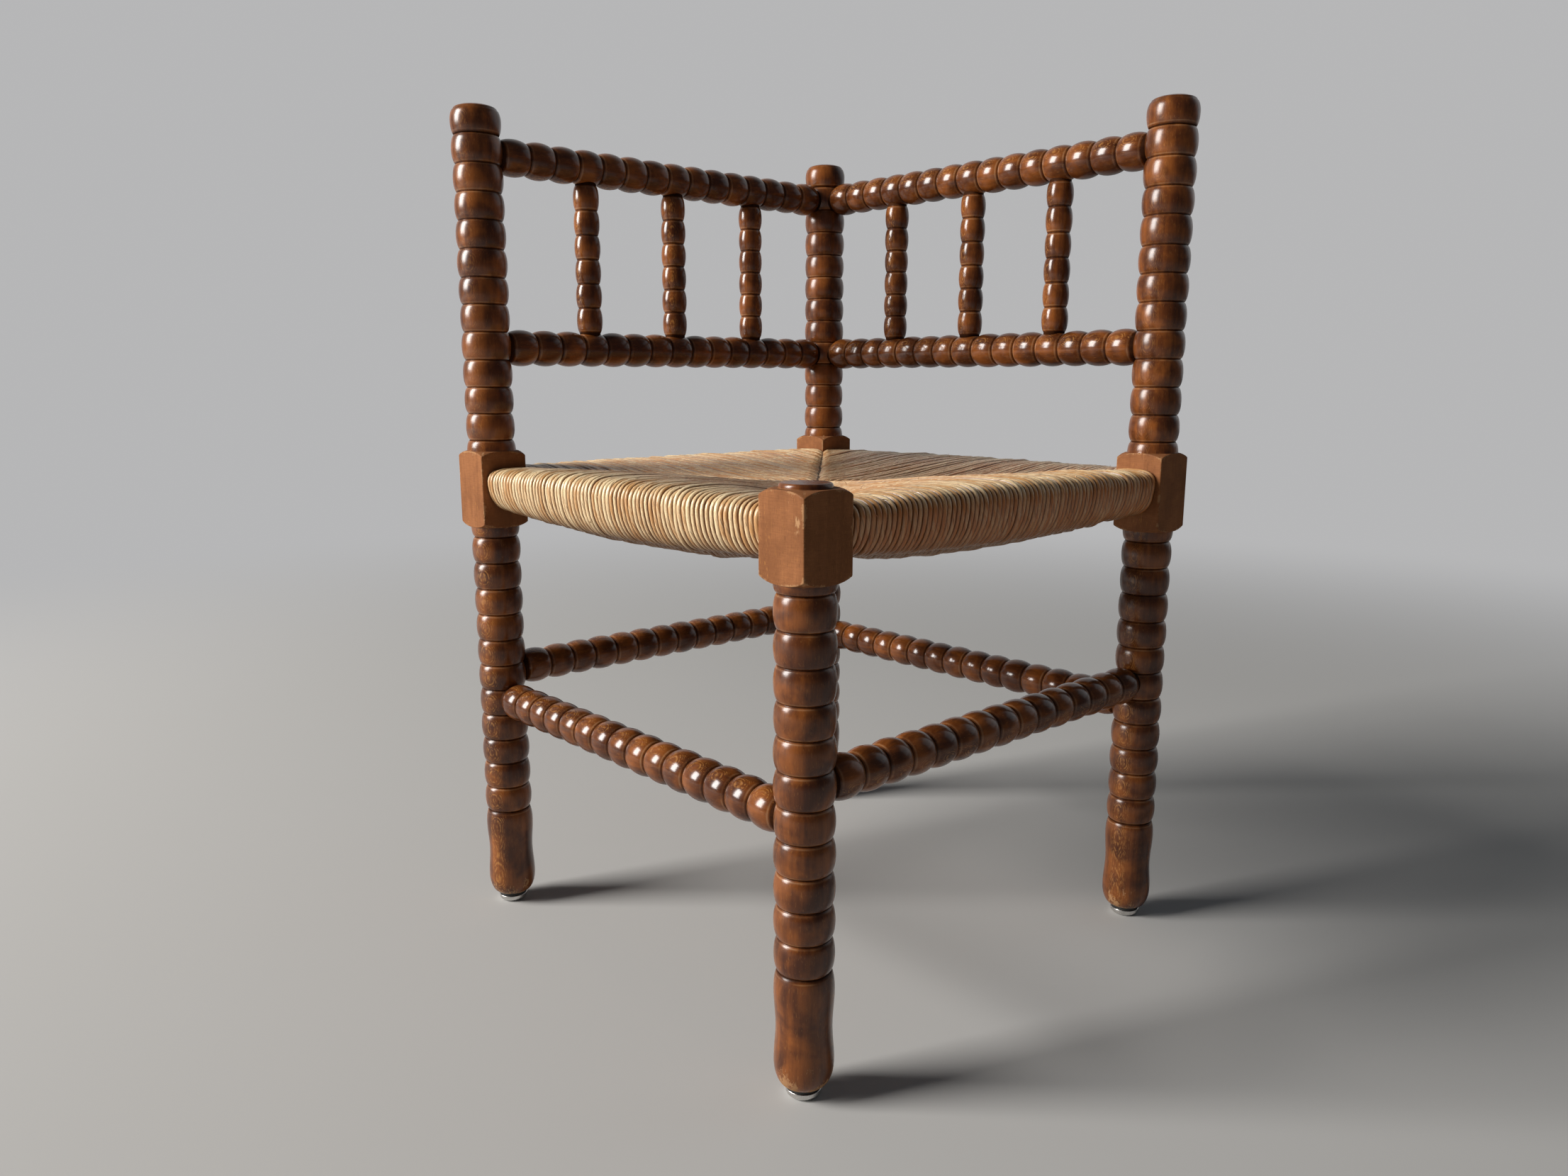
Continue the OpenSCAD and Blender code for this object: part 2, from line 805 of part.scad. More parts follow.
module glide_cushion(n) {
    side_r = cup_d / 2 - cup_wall - cushion_gap;
    flat_r = cup_flat_d / 2 - cushion_gap;
    low_z = cup_wall + cushion_gap;
    bend_z = cup_bend_h + cushion_gap;
    color(black_rubber)
        at_post(n)
            difference() {
                rotate_extrude()
                    polygon(concat(
                        [[0, low_z]],
                        quarter([flat_r, low_z], [side_r, bend_z], false),
                        [[side_r, glide_h], [0, glide_h]]
                    ));
                translate([0, 0, low_z - over])
                    cylinder(d = nail_head_d + 2 * cushion_gap, h = over + nail_head_h + cushion_gap);
                cylinder(d = nail_d + 2 * joint_gap, h = glide_h + over);
            }
}

module glide_nail(n) {
    color(nickel)
        at_post(n)
            translate([0, 0, cup_wall]) {
                cylinder(d = nail_head_d, h = nail_head_h);
                cylinder(d = nail_d, h = glide_h - cup_wall + nail_l);
            }
}

module front_glide_cup() {
    glide_cup(FRONT);
}

module right_glide_cup() {
    glide_cup(RIGHT);
}

module rear_glide_cup() {
    glide_cup(REAR);
}

module left_glide_cup() {
    glide_cup(LEFT);
}

module front_glide_cushion() {
    glide_cushion(FRONT);
}

module right_glide_cushion() {
    glide_cushion(RIGHT);
}

module rear_glide_cushion() {
    glide_cushion(REAR);
}

module left_glide_cushion() {
    glide_cushion(LEFT);
}

module front_glide_nail() {
    glide_nail(FRONT);
}

module right_glide_nail() {
    glide_nail(RIGHT);
}

module rear_glide_nail() {
    glide_nail(REAR);
}

module left_glide_nail() {
    glide_nail(LEFT);
}

front_post();
right_post();
rear_post();
left_post();
left_top_rail();
right_top_rail();
left_lower_rail();
right_lower_rail();
left_outer_spindle();
left_middle_spindle();
left_inner_spindle();
right_outer_spindle();
right_middle_spindle();
right_inner_spindle();
front_left_stretcher();
front_right_stretcher();
rear_left_stretcher();
rear_right_stretcher();
front_left_seat_rail();
front_right_seat_rail();
rear_left_seat_rail();
rear_right_seat_rail();
rush_seat();
front_left_stuffing();
front_right_stuffing();
rear_left_stuffing();
rear_right_stuffing();
front_glide_cup();
right_glide_cup();
rear_glide_cup();
left_glide_cup();
front_glide_cushion();
right_glide_cushion();
rear_glide_cushion();
left_glide_cushion();
front_glide_nail();
right_glide_nail();
rear_glide_nail();
left_glide_nail();
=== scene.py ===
"""Corner chair with bobbin turnings and a rush seat: turned and stained wood, woven rush, metal glides."""
import math
import random

import bmesh
import bpy
import numpy as np
from bpy.props import FloatProperty, FloatVectorProperty, IntProperty, PointerProperty
from mathutils import Euler, Matrix, Vector


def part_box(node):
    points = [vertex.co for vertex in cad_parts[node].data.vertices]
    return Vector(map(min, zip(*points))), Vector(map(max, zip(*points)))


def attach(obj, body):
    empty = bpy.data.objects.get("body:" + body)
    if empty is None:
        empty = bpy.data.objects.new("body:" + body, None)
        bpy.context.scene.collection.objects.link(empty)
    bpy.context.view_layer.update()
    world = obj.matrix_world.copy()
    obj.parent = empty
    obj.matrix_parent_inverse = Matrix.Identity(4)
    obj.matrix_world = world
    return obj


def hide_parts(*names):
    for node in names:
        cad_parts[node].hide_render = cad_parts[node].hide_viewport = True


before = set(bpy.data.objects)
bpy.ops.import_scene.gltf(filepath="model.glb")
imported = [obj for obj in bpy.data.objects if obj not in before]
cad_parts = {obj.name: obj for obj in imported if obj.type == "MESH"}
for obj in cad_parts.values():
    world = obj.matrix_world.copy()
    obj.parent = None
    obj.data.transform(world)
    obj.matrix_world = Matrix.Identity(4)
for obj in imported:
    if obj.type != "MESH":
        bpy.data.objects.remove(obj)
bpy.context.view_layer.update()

bl_info = {
    "name": "Bobbin Corner Chair",
    "version": (1, 0, 0),
    "blender": (4, 5, 0),
    "location": "3D View > Sidebar > Chair",
    "description": "Makes the turned wood, the rush seat and the glides of a corner chair",
    "category": "Object",
}

MM = 0.001

# Posts and the sides between them, each side from one post to the next round the seat
POSTS = ("front", "right", "rear", "left")
SIDES = {
    "front_right": ("front", "right"),
    "rear_right": ("right", "rear"),
    "rear_left": ("rear", "left"),
    "front_left": ("left", "front"),
}

# Turned sizes, in metres
POST_RING_R = 21.6 * MM
POST_GROOVE_R = 18.3 * MM
LEG_PITCH = 24 * MM
BACK_PITCH = 23.7 * MM
LEG_RINGS = 11
BACK_RINGS = 11
SOLE_Z = 9.5 * MM
SOLE_R = 13.5 * MM
FOOT_H = 85.5 * MM
FOOT_BELLY_H = 18 * MM
FOOT_WAIST_H = 44.5 * MM
FOOT_WAIST_R = 20.2 * MM
FOOT_NECK_H = 14.5 * MM
FRONT_FOOT_MORE = 2 * MM
FRONT_PITCH_MORE = 0.3 * MM
NECK_H = 9.5 * MM
SHOULDER_H = 4.5 * MM
SHOULDER_POWER = 1.6
BLOCK_HALF = 22 * MM
BLOCK_EDGE_R = 1.1 * MM
BLOCK_CREASE = 0.8 * MM
BLOCK_NECK_INSET = 1.5 * MM
BLOCK_EDGE_H = 60 * MM
FRONT_EDGE_H = 25 * MM
FRONT_LOW_RISE = 2.5 * MM
CAP_H = 24 * MM
CAP_SIDE_H = 12 * MM
CAP_FLAT_R = 13.5 * MM
CAP_LINE_DROP = 2.4 * MM
CAP_LINE_DEPTH = 0.5 * MM
CAP_EDGE_W = 1.6 * MM
CAP_EDGE_DROP = 0.5 * MM
CAP_DISH = 0.6 * MM
CAP_DISH_R = 3 * MM
BUTTON_R = 18 * MM
BUTTON_H = 3.5 * MM
BUTTON_SIDE_H = 0.6 * MM
BUTTON_EDGE_R = 1.8 * MM
BUTTON_FLAT_R = 4 * MM
BURY = 2 * MM
END_SINK = 0.6 * MM
RAIL_R = 16.2 * MM
RAIL_GROOVE_R = 12.4 * MM
STRETCHER_R = 16.5 * MM
STRETCHER_GROOVE_R = 12.5 * MM
BAR_RINGS = 15
SPINDLE_R = 12.2 * MM
SPINDLE_GROOVE_R = 9.8 * MM
SPINDLE_RINGS = 6
POST_FULLNESS = 1.1
BAR_FULLNESS = 1.35

# Rush, in metres: the same section as the solid of the seat
SIDE = 420 * MM
BLOCK_GAP = 0.3 * MM
RUSH_END = SIDE / 2 - BLOCK_HALF - BLOCK_GAP
RUSH_TURN = 9 * MM
RUSH_REACH = 17.5 * MM
RUSH_BELLY = 2 * MM
RUSH_TOP = 20 * MM
FRONT_CROWN = 3.5 * MM
REAR_CROWN = 1 * MM
RUSH_DISH = 11 * MM
RUSH_BOTTOM = 19 * MM
RUSH_SAG = 7 * MM
RUSH_LIFT = 8 * MM
RUSH_SWELL = 12 * MM
SWELL_POWER = 0.6
FACE_POWER = 0.55
EDGE_POWER = 0.85
FACE_LEAN = 0.2
SEAM_DIP = 3.2 * MM
STRAND_SIDES = 10
SPLINTER_LENGTH = 5 * MM
SPLINTER_LIFT = 1.1 * MM
SPLINTER_R = 0.28 * MM
STUFFING_SEAM = 18 * MM
PAD_INNER = 62 * MM
PAD_RAIL_GAP = 13 * MM

# Where a strand counts as lying under the roll (painted shade), level on top, or on the outside of the roll
# (darker brown), in metres
UNDER_BELOW = 9 * MM
UNDER_BELOW_FADE = 7 * MM
UNDER_REACH = 15 * MM
UNDER_REACH_FADE = 12 * MM
LEVEL_INSET = 6 * MM
LEVEL_FADE = 26 * MM
BROWN_INSET = 4 * MM
BROWN_FADE = 8 * MM
BROWN_TOP_INSET = 2 * MM
BROWN_TOP_FADE = 9 * MM

# Glides, in metres
CUP_WALL = 0.8 * MM
CUP_BEND = 3.6 * MM
CUP_FLAT_R = 7.5 * MM
CUSHION_EDGE_R = 0.5 * MM

# Heights over which a groove's dark wax and painted shade, and the scuffs, fade, in metres
GROOVE_FADE = 6 * MM
NECK_GROOVE_FADE = 3 * MM
SCUFF_H = 30 * MM

# Chips on the front block: distance from its middle, depth below its upper edge, reach each way
FRONT_CHIPS = (
    (10 * MM, 7 * MM, (4 * MM, 5 * MM, 8 * MM)),
    (15 * MM, 14 * MM, (4 * MM, 4 * MM, 10 * MM)),
)

# Nicks in the corners of each block: how many, their radius, and their lengths in millimetres
CORNER_NICKS = 3
NICK_R = 3 * MM
NICK_LENGTHS = (4, 9)

# Masks of wear on the block's edges and beside them
EDGE_WEAR = 0.9
BESIDE_WEAR = 0.3
CREASE_WEAR = 0.25

# Growth lines: how level a surface lies where they show, the fade, and their strength above a block
FIGURE_FROM = 0.91
FIGURE_FADE = 0.05
UPPER_FIGURE = 0.4

# Distance of a piece from the heart of its log, in metres
HEART_DISTANCE = (0.055, 0.085)

# Roughness of the wax
POST_SHEEN = 0.24
BAR_SHEEN = 0.18

# Turn of the growth layers in each post, in radians
LAYER_TURN = {"front": 0.785, "right": 1.484, "rear": 4.10, "left": 1.134}

# Where those of a bar run level with its surface, in degrees from the horizontal inwards
RAIL_LEVEL_AT = {"left": -90, "right": 30}
STRETCHER_LEVEL_AT = {"front_right": 20, "rear_right": -90, "rear_left": -90, "front_left": 110}

# How much darker brown the outside of the roll is in each field of rush, from 0 to 1
ROLL_DARKENING = {"front_right": 0.95, "rear_right": 0.12, "rear_left": 0.12, "front_left": 0.12}

# First random seed of each group of pieces
POST_SEED = 100
RAIL_SEED = 203
STRETCHER_SEED = 300
SPINDLE_SEED = 400
STUFFING_SEED = 500

# Tones that the settings don't hold
OPEN_PORES = (0.020, 0.007, 0.003, 1)
# Dark wax in the grooves, with painted shade over it
GROOVE_WAX_AND_SHADE = (0.014, 0.006, 0.0035, 1)
GRIME = (0.012, 0.007, 0.005, 1)
BARE_WOOD_DARK = (0.52, 0.33, 0.16, 1)
BARE_WOOD_PALE = (0.68, 0.47, 0.26, 1)
LATE_WOOD = (0.40, 0.23, 0.10, 1)
HANDLED_WOOD = (0.30, 0.20, 0.12, 1)
SEAT_STRAW = (0.55, 0.180, 0.048, 1)
DARK_ROLL_STRAW = (0.50, 0.145, 0.022, 1)
GAP_SHADE_STRAW = (0.19, 0.068, 0.016, 1)
FIBRE_STRAW = (0.24, 0.10, 0.03, 1)
TORN_STRAW = (0.13, 0.055, 0.020, 1)
UNDER_SHADE_STRAW = (0.190, 0.078, 0.024, 1)
PACKING_DARK = (0.055, 0.028, 0.011, 1)
PACKING_PALE = (0.22, 0.125, 0.05, 1)
PACKING_DUST = (0.04, 0.02, 0.01, 1)
DULLED_METAL = (0.46, 0.44, 0.41, 1)
METAL_SPECKS = (0.20, 0.17, 0.14, 1)
RUBBER = (0.012, 0.012, 0.012, 1)
RUBBER_BLOOM = (0.045, 0.042, 0.038, 1)
RUBBER_DUST = (0.14, 0.12, 0.10, 1)
STEEL = (0.46, 0.46, 0.45, 1)
STEEL_DULL = (0.30, 0.28, 0.25, 1)
FLOOR_DUST = (0.50, 0.49, 0.47, 1)
SKY_TINT = (0.76, 0.87, 1.0, 1)

# Lamps: place, point they are turned to, width and height, all in metres, and tint
KEY_LAMP = ((-6.04, -1.52, 3.14), (0, 0, 0.42), (2.6, 3.8), (1.0, 0.98, 0.95))
FILL_LAMP = ((4.4, 1.8, 2.8), (0, 0, 0.4), (3.2, 3.2), (0.85, 0.93, 1.0))

# Camera fitted to the photograph: place in metres, turns in degrees, lens in millimetres
CAMERA_PLACE = (0.02469, -1.02415, 0.50065)
CAMERA_TURN = (78.9075, 0.0053, 2.9901)
LENS = 25.968
LENS_SHIFT = (-0.00074, 0.00854)


# Settings

def colour(name, description, default):
    """A setting that holds a colour."""
    return FloatVectorProperty(
        name=name, description=description, default=default, size=4, min=0, max=1, subtype="COLOR")


class TurningSettings(bpy.types.PropertyGroup):
    """Sizes and finish of the turned wood"""
    segments: IntProperty(
        name="Segments", description="Sides round a turned post", default=64, min=16, max=128)
    ring_steps: IntProperty(
        name="Steps", description="Steps along one bobbin", default=12, min=6, max=24)
    irregularity: FloatProperty(
        name="Irregularity", description="How far a hand-turned groove strays from its place",
        default=0.45 * MM, min=0, max=2 * MM, precision=5, unit="LENGTH")
    stain: colour("Stain", "Darkest tone of the stained wood", (0.060, 0.0155, 0.0045, 1))
    warm: colour("Warm tone", "Tone where the stain is thin", (0.280, 0.083, 0.0150, 1))
    figure: colour("Figure", "Golden lines of the growth layers", (0.55, 0.25, 0.065, 1))
    # The bare wood's tone also paints the highlight on the rims beside the grooves
    bare_and_rim_highlight: colour("Bare wood", "Wood where the finish is rubbed away", (0.50, 0.29, 0.145, 1))
    block: colour("Block tone", "Flat sawn faces of the seat blocks", (0.330, 0.134, 0.054, 1))


class RushSettings(bpy.types.PropertyGroup):
    """Sizes and colours of the woven seat"""
    strands: IntProperty(
        name="Strands", description="Strands laid side by side over one rail", default=74, min=30, max=120)
    height: FloatProperty(
        name="Strand height", description="Thickness of a strand across the seat's surface",
        default=4.6 * MM, min=2 * MM, max=8 * MM, precision=5, unit="LENGTH")
    overlap: FloatProperty(
        name="Overlap", description="Width of a strand for each pitch between strands",
        default=0.97, min=0.8, max=1.4)
    stray: FloatProperty(
        name="Stray", description="How far a strand wanders sideways",
        default=0.9 * MM, min=0, max=3 * MM, precision=5, unit="LENGTH")
    lay: FloatProperty(
        name="Lay", description="Turns of twist in a metre of strand", default=20, min=0, max=60)
    splinters: FloatProperty(
        name="Splinters", description="Loose leaf ends on a square metre of strand",
        default=160, min=0, max=3000)
    pale: colour("Pale straw", "Tone of the palest strands", (0.95, 0.75, 0.45, 1))
    brown: colour("Brown straw", "Tone of the darkest strands", (0.60, 0.32, 0.115, 1))
    seed: IntProperty(name="Seed", description="Choice of random strands", default=11, min=0)


class GlideSettings(bpy.types.PropertyGroup):
    """Sizes and colours of the glides"""
    segments: IntProperty(
        name="Segments", description="Sides round a glide", default=72, min=16, max=128)
    lip: FloatProperty(
        name="Lip", description="Radius of the cup's rolled lip",
        default=0.4 * MM, min=0.1 * MM, max=1 * MM, precision=5, unit="LENGTH")
    metal: colour("Metal", "Tone of the plated cup", (0.72, 0.71, 0.69, 1))


class StageSettings(bpy.types.PropertyGroup):
    """Floor, background and light"""
    floor_radius: FloatProperty(
        name="Floor", description="Radius of the floor", default=9, min=2, unit="LENGTH")
    floor: colour("Floor", "Tone of the floor", (0.51, 0.50, 0.485, 1))
    backdrop: colour("Backdrop", "Tone behind the chair", (0.47, 0.47, 0.475, 1))
    key: FloatProperty(
        name="Key light", description="Strength of the light from the left", default=800, min=0)
    fill: FloatProperty(
        name="Fill light", description="Strength of the light from the right", default=10, min=0)
    sky: FloatProperty(
        name="Sky", description="Strength of the light from all round", default=0.062, min=0)


# Node trees

class Graph:
    """Writes a node tree: each method adds a node, wires what it is given and returns its output."""

    def __init__(self, tree):
        self.tree = tree

    def node(self, kind, inputs=None, **settings):
        made = self.tree.nodes.new(kind)
        for name, value in settings.items():
            setattr(made, name, value)
        for key, value in (inputs or {}).items():
            self.feed(made.inputs[key], value)
        return made

    def out(self, kind, inputs=None, **settings):
        """First output of a new node."""
        return self.node(kind, inputs, **settings).outputs[0]

    def feed(self, socket, value):
        if isinstance(value, bpy.types.NodeSocket):
            self.tree.links.new(value, socket)
        else:
            socket.default_value = value

    def math(self, operation, *values):
        return self.out("ShaderNodeMath", dict(enumerate(values)), operation=operation)

    def times(self, a, b):
        return self.math("MULTIPLY", a, b)

    def plus(self, a, b):
        return self.math("ADD", a, b)

    def minus(self, a, b):
        return self.math("SUBTRACT", a, b)

    def total(self, start, *shares):
        """The start and, added to it, each value times its share."""
        for value, share in shares:
            start = self.plus(start, self.times(value, share))
        return start

    def vector(self, operation, *values):
        made = self.node("ShaderNodeVectorMath", dict(enumerate(values)), operation=operation)
        return made.outputs["Value" if operation == "LENGTH" else "Vector"]

    def stretched(self, vector, factors):
        return self.vector("MULTIPLY", vector, factors)

    def combine(self, x, y, z):
        return self.out("ShaderNodeCombineXYZ", {0: x, 1: y, 2: z})

    def split(self, vector):
        return self.node("ShaderNodeSeparateXYZ", {0: vector}).outputs

    def noise(self, vector, scale, detail=2.0, roughness=0.5, distortion=0.0):
        return self.node("ShaderNodeTexNoise", {
            "Vector": vector, "Scale": scale, "Detail": detail,
            "Roughness": roughness, "Distortion": distortion}).outputs["Fac"]

    def remap(self, value, low, high, to_low=0.0, to_high=1.0):
        """Smooth step from low to high, where low may be the larger one."""
        return self.out("ShaderNodeMapRange", {
            "Value": value, "From Min": low, "From Max": high, "To Min": to_low, "To Max": to_high},
            interpolation_type="SMOOTHSTEP")

    def mix(self, factor, a, b):
        made = self.node("ShaderNodeMix", {0: factor, 6: a, 7: b}, data_type="RGBA", clamp_factor=True)
        return made.outputs[2]

    def tinted(self, base, mask, amount, tone):
        """The base colour with a tone over it, as strong as the mask times the amount."""
        return self.mix(self.times(mask, amount), base, tone)

    def stored(self, geometry, label, value, kind="FLOAT"):
        """The geometry with a value kept on its points under a label."""
        return self.out("GeometryNodeStoreNamedAttribute", {
            "Geometry": geometry, "Name": label, "Value": value}, data_type=kind, domain="POINT")

    def named(self, label):
        return self.out("GeometryNodeInputNamedAttribute", {"Name": label}, data_type="FLOAT")


def new_group(name, kind, inputs, outputs):
    """A node group with named sockets. Returns its graph, its input sockets and its output node."""
    tree = bpy.data.node_groups.new(name, kind)
    for label, socket, default in inputs:
        made = tree.interface.new_socket(name=label, in_out="INPUT", socket_type=socket)
        if default is not None:
            made.default_value = default
    for label, socket in outputs:
        tree.interface.new_socket(name=label, in_out="OUTPUT", socket_type=socket)
    graph = Graph(tree)
    given = graph.node("NodeGroupInput").outputs
    end = graph.node("NodeGroupOutput")
    return graph, given, end


def grown_mesh(tree, settings, base=None):
    """The plain mesh that a geometry tree makes with these settings."""
    mesh = base or bpy.data.meshes.new("seed")
    maker = bpy.data.objects.new("maker", mesh)
    bpy.context.scene.collection.objects.link(maker)
    modifier = maker.modifiers.new("make", "NODES")
    modifier.node_group = tree
    for item in tree.interface.items_tree:
        if item.in_out == "INPUT" and item.name in settings:
            modifier[item.identifier] = settings[item.name]
    depsgraph = bpy.context.evaluated_depsgraph_get()
    made = bpy.data.meshes.new_from_object(
        maker.evaluated_get(depsgraph), preserve_all_data_layers=True, depsgraph=depsgraph)
    maker.modifiers.remove(modifier)
    bpy.data.objects.remove(maker)
    return made


def give_out(g, end, **values):
    """Wires the outputs of a group by their names."""
    for label, value in values.items():
        g.feed(end.inputs[label], value)


def bobbin_row_tree():
    """Geometry tree: a row of bobbins turned along Z, upwards from the origin."""
    name = "Bobbin row"
    if name in bpy.data.node_groups:
        return bpy.data.node_groups[name]
    g, given, end = new_group(name, "GeometryNodeTree", [
        ("Bobbins", "NodeSocketInt", LEG_RINGS),
        ("Pitch", "NodeSocketFloat", LEG_PITCH),
        ("Bobbin Radius", "NodeSocketFloat", POST_RING_R),
        ("Groove Radius", "NodeSocketFloat", POST_GROOVE_R),
        ("Steps", "NodeSocketInt", 12),
        ("Segments", "NodeSocketInt", 64),
        ("Fullness", "NodeSocketFloat", POST_FULLNESS),
        ("Irregularity", "NodeSocketFloat", 0.0),
        ("Seed", "NodeSocketInt", 0),
        ("Material", "NodeSocketMaterial", None),
    ], [("Geometry", "NodeSocketGeometry")])

    def stray(number, seed_shift, reach):
        """Random value of a groove or bobbin, up to the reach either way."""
        made = g.node("FunctionNodeRandomValue", {
            "ID": number, "Seed": g.plus(given["Seed"], seed_shift)}, data_type="FLOAT")
        g.feed(made.inputs[2], g.times(reach, -1.0))
        g.feed(made.inputs[3], reach)
        return made.outputs[1]

    def groove_z(number):
        """Height of a groove: only those inside the row stray."""
        inside = g.times(
            g.math("GREATER_THAN", number, 0.5),
            g.math("LESS_THAN", number, g.minus(given["Bobbins"], 0.5)))
        offset = g.times(stray(number, 0, given["Irregularity"]), inside)
        return g.plus(g.times(number, given["Pitch"]), offset)

    points = g.plus(g.times(given["Bobbins"], given["Steps"]), 1.0)
    line = g.out("GeometryNodeCurvePrimitiveLine", {"End": (0.0, 0.0, 1.0)})
    line = g.out("GeometryNodeResampleCurve", {"Curve": line, "Count": points})
    step = g.math("DIVIDE", g.out("GeometryNodeInputIndex"), given["Steps"])
    number = g.math("FLOOR", g.plus(step, 0.0001))
    part = g.math("MAXIMUM", g.minus(step, number), 0.0)
    angle = g.times(part, math.pi)
    rise = g.times(g.minus(1.0, g.math("COSINE", angle)), 0.5)
    low = groove_z(number)
    high = groove_z(g.plus(number, 1.0))
    z = g.plus(low, g.times(g.minus(high, low), rise))
    crest = g.math("POWER", g.math("MAXIMUM", g.math("SINE", angle), 0.0), given["Fullness"])
    swell = g.minus(given["Bobbin Radius"], given["Groove Radius"])
    swell = g.plus(swell, stray(number, 7, g.times(given["Irregularity"], 0.35)))
    radius = g.plus(given["Groove Radius"], g.times(swell, crest))

    line = g.stored(line, "turn_radius", radius)
    line = g.stored(line, "crest", crest)
    line = g.out("GeometryNodeSetPosition", {"Geometry": line, "Position": g.combine(0.0, 0.0, z)})
    circle = g.out("GeometryNodeCurvePrimitiveCircle", {"Resolution": given["Segments"], "Radius": 1.0})
    turned = g.out("GeometryNodeCurveToMesh", {
        "Curve": line, "Profile Curve": circle, "Scale": g.named("turn_radius")})
    turned = g.out("GeometryNodeRemoveAttribute", {"Geometry": turned, "Name": "turn_radius"})
    turned = g.out("GeometryNodeRealizeInstances", {"Geometry": turned})
    turned = g.out("GeometryNodeSetMaterial", {"Geometry": turned, "Material": given["Material"]})
    give_out(g, end, Geometry=turned)
    return g.tree


def rush_strand_tree():
    """Geometry tree: gives each guide line of the seat the body of a twisted strand."""
    name = "Rush strands"
    if name in bpy.data.node_groups:
        return bpy.data.node_groups[name]
    g, given, end = new_group(name, "GeometryNodeTree", [
        ("Guides", "NodeSocketGeometry", None),
        ("Width", "NodeSocketFloat", 5.6 * MM),
        ("Height", "NodeSocketFloat", 4.6 * MM),
        ("Sides", "NodeSocketInt", STRAND_SIDES),
        ("Lay", "NodeSocketFloat", 20.0),
        ("Splinters", "NodeSocketFloat", 160.0),
        ("Splinter Length", "NodeSocketFloat", SPLINTER_LENGTH),
        ("Seed", "NodeSocketInt", 0),
        ("Material", "NodeSocketMaterial", None),
    ], [("Geometry", "NodeSocketGeometry")])

    guides = g.out("GeometryNodeMeshToCurve", {"Mesh": given["Guides"]})
    profile = g.out("GeometryNodeCurvePrimitiveCircle", {"Resolution": given["Sides"], "Radius": 0.5})
    turn = g.math("DIVIDE", g.out("GeometryNodeInputIndex"), given["Sides"])
    profile = g.stored(profile, "around", g.times(turn, 2 * math.pi))
    profile = g.out("GeometryNodeTransform", {
        "Geometry": profile, "Scale": g.combine(given["Width"], given["Height"], 1.0)})
    strand = g.out("GeometryNodeCurveToMesh", {
        "Curve": guides, "Profile Curve": profile, "Scale": g.named("thick"), "Fill Caps": True})
    twist = g.times(g.named("along"), g.times(given["Lay"], 2 * math.pi))
    angle = g.plus(g.named("around"), twist)
    strand = g.stored(strand, "ridge", g.math("ABSOLUTE", g.math("SINE", g.named("around"))))
    fibre = g.combine(g.named("along"), g.math("COSINE", angle), g.math("SINE", angle))
    strand = g.stored(strand, "fibre", fibre, "FLOAT_VECTOR")

    # A splinter is a short bent sliver that tapers to a point
    sliver = g.out("GeometryNodeCurvePrimitiveLine", {"End": g.combine(given["Splinter Length"], 0.0, 0.0)})
    sliver = g.out("GeometryNodeResampleCurve", {"Curve": sliver, "Count": 5})
    part = g.node("GeometryNodeSplineParameter").outputs["Factor"]
    lift = g.times(g.math("SINE", g.times(part, 1.6)), SPLINTER_LIFT)
    sliver = g.out("GeometryNodeSetPosition", {"Geometry": sliver, "Offset": g.combine(0.0, 0.0, lift)})
    ring = g.out("GeometryNodeCurvePrimitiveCircle", {"Resolution": 5, "Radius": SPLINTER_R})
    sliver = g.stored(sliver, "taper", g.minus(1.0, g.times(part, 0.85)))
    sliver = g.out("GeometryNodeCurveToMesh", {
        "Curve": sliver, "Profile Curve": ring, "Scale": g.named("taper"), "Fill Caps": True})
    spots = g.node("GeometryNodeDistributePointsOnFaces", {
        "Mesh": strand, "Density": given["Splinters"], "Seed": given["Seed"]})
    spin = g.node("FunctionNodeRandomValue", {"Seed": given["Seed"]}, data_type="FLOAT")
    g.feed(spin.inputs[2], 0.0)
    g.feed(spin.inputs[3], 2 * math.pi)
    turned = g.out("FunctionNodeRotateRotation", {
        "Rotation": spots.outputs["Rotation"],
        "Rotate By": g.combine(0.0, 0.0, spin.outputs[1])}, rotation_space="LOCAL")
    splinters = g.out("GeometryNodeInstanceOnPoints", {
        "Points": spots.outputs["Points"], "Instance": sliver, "Rotation": turned})
    both = g.node("GeometryNodeJoinGeometry")
    for geometry in (splinters, strand):
        g.tree.links.new(geometry, both.inputs[0])
    made = g.out("GeometryNodeRealizeInstances", {"Geometry": both.outputs[0]})
    made = g.out("GeometryNodeSetShadeSmooth", {"Geometry": made})
    made = g.out("GeometryNodeSetMaterial", {"Geometry": made, "Material": given["Material"]})
    give_out(g, end, Geometry=made)
    return g.tree


# Shader groups and materials

def attribute(g, name, output="Fac"):
    """What a mesh keeps on its points under a name."""
    return g.node("ShaderNodeAttribute", attribute_name=name, attribute_type="GEOMETRY").outputs[output]


def object_place(g):
    """Coordinates of the piece itself, in metres."""
    return g.node("ShaderNodeTexCoord").outputs["Object"]


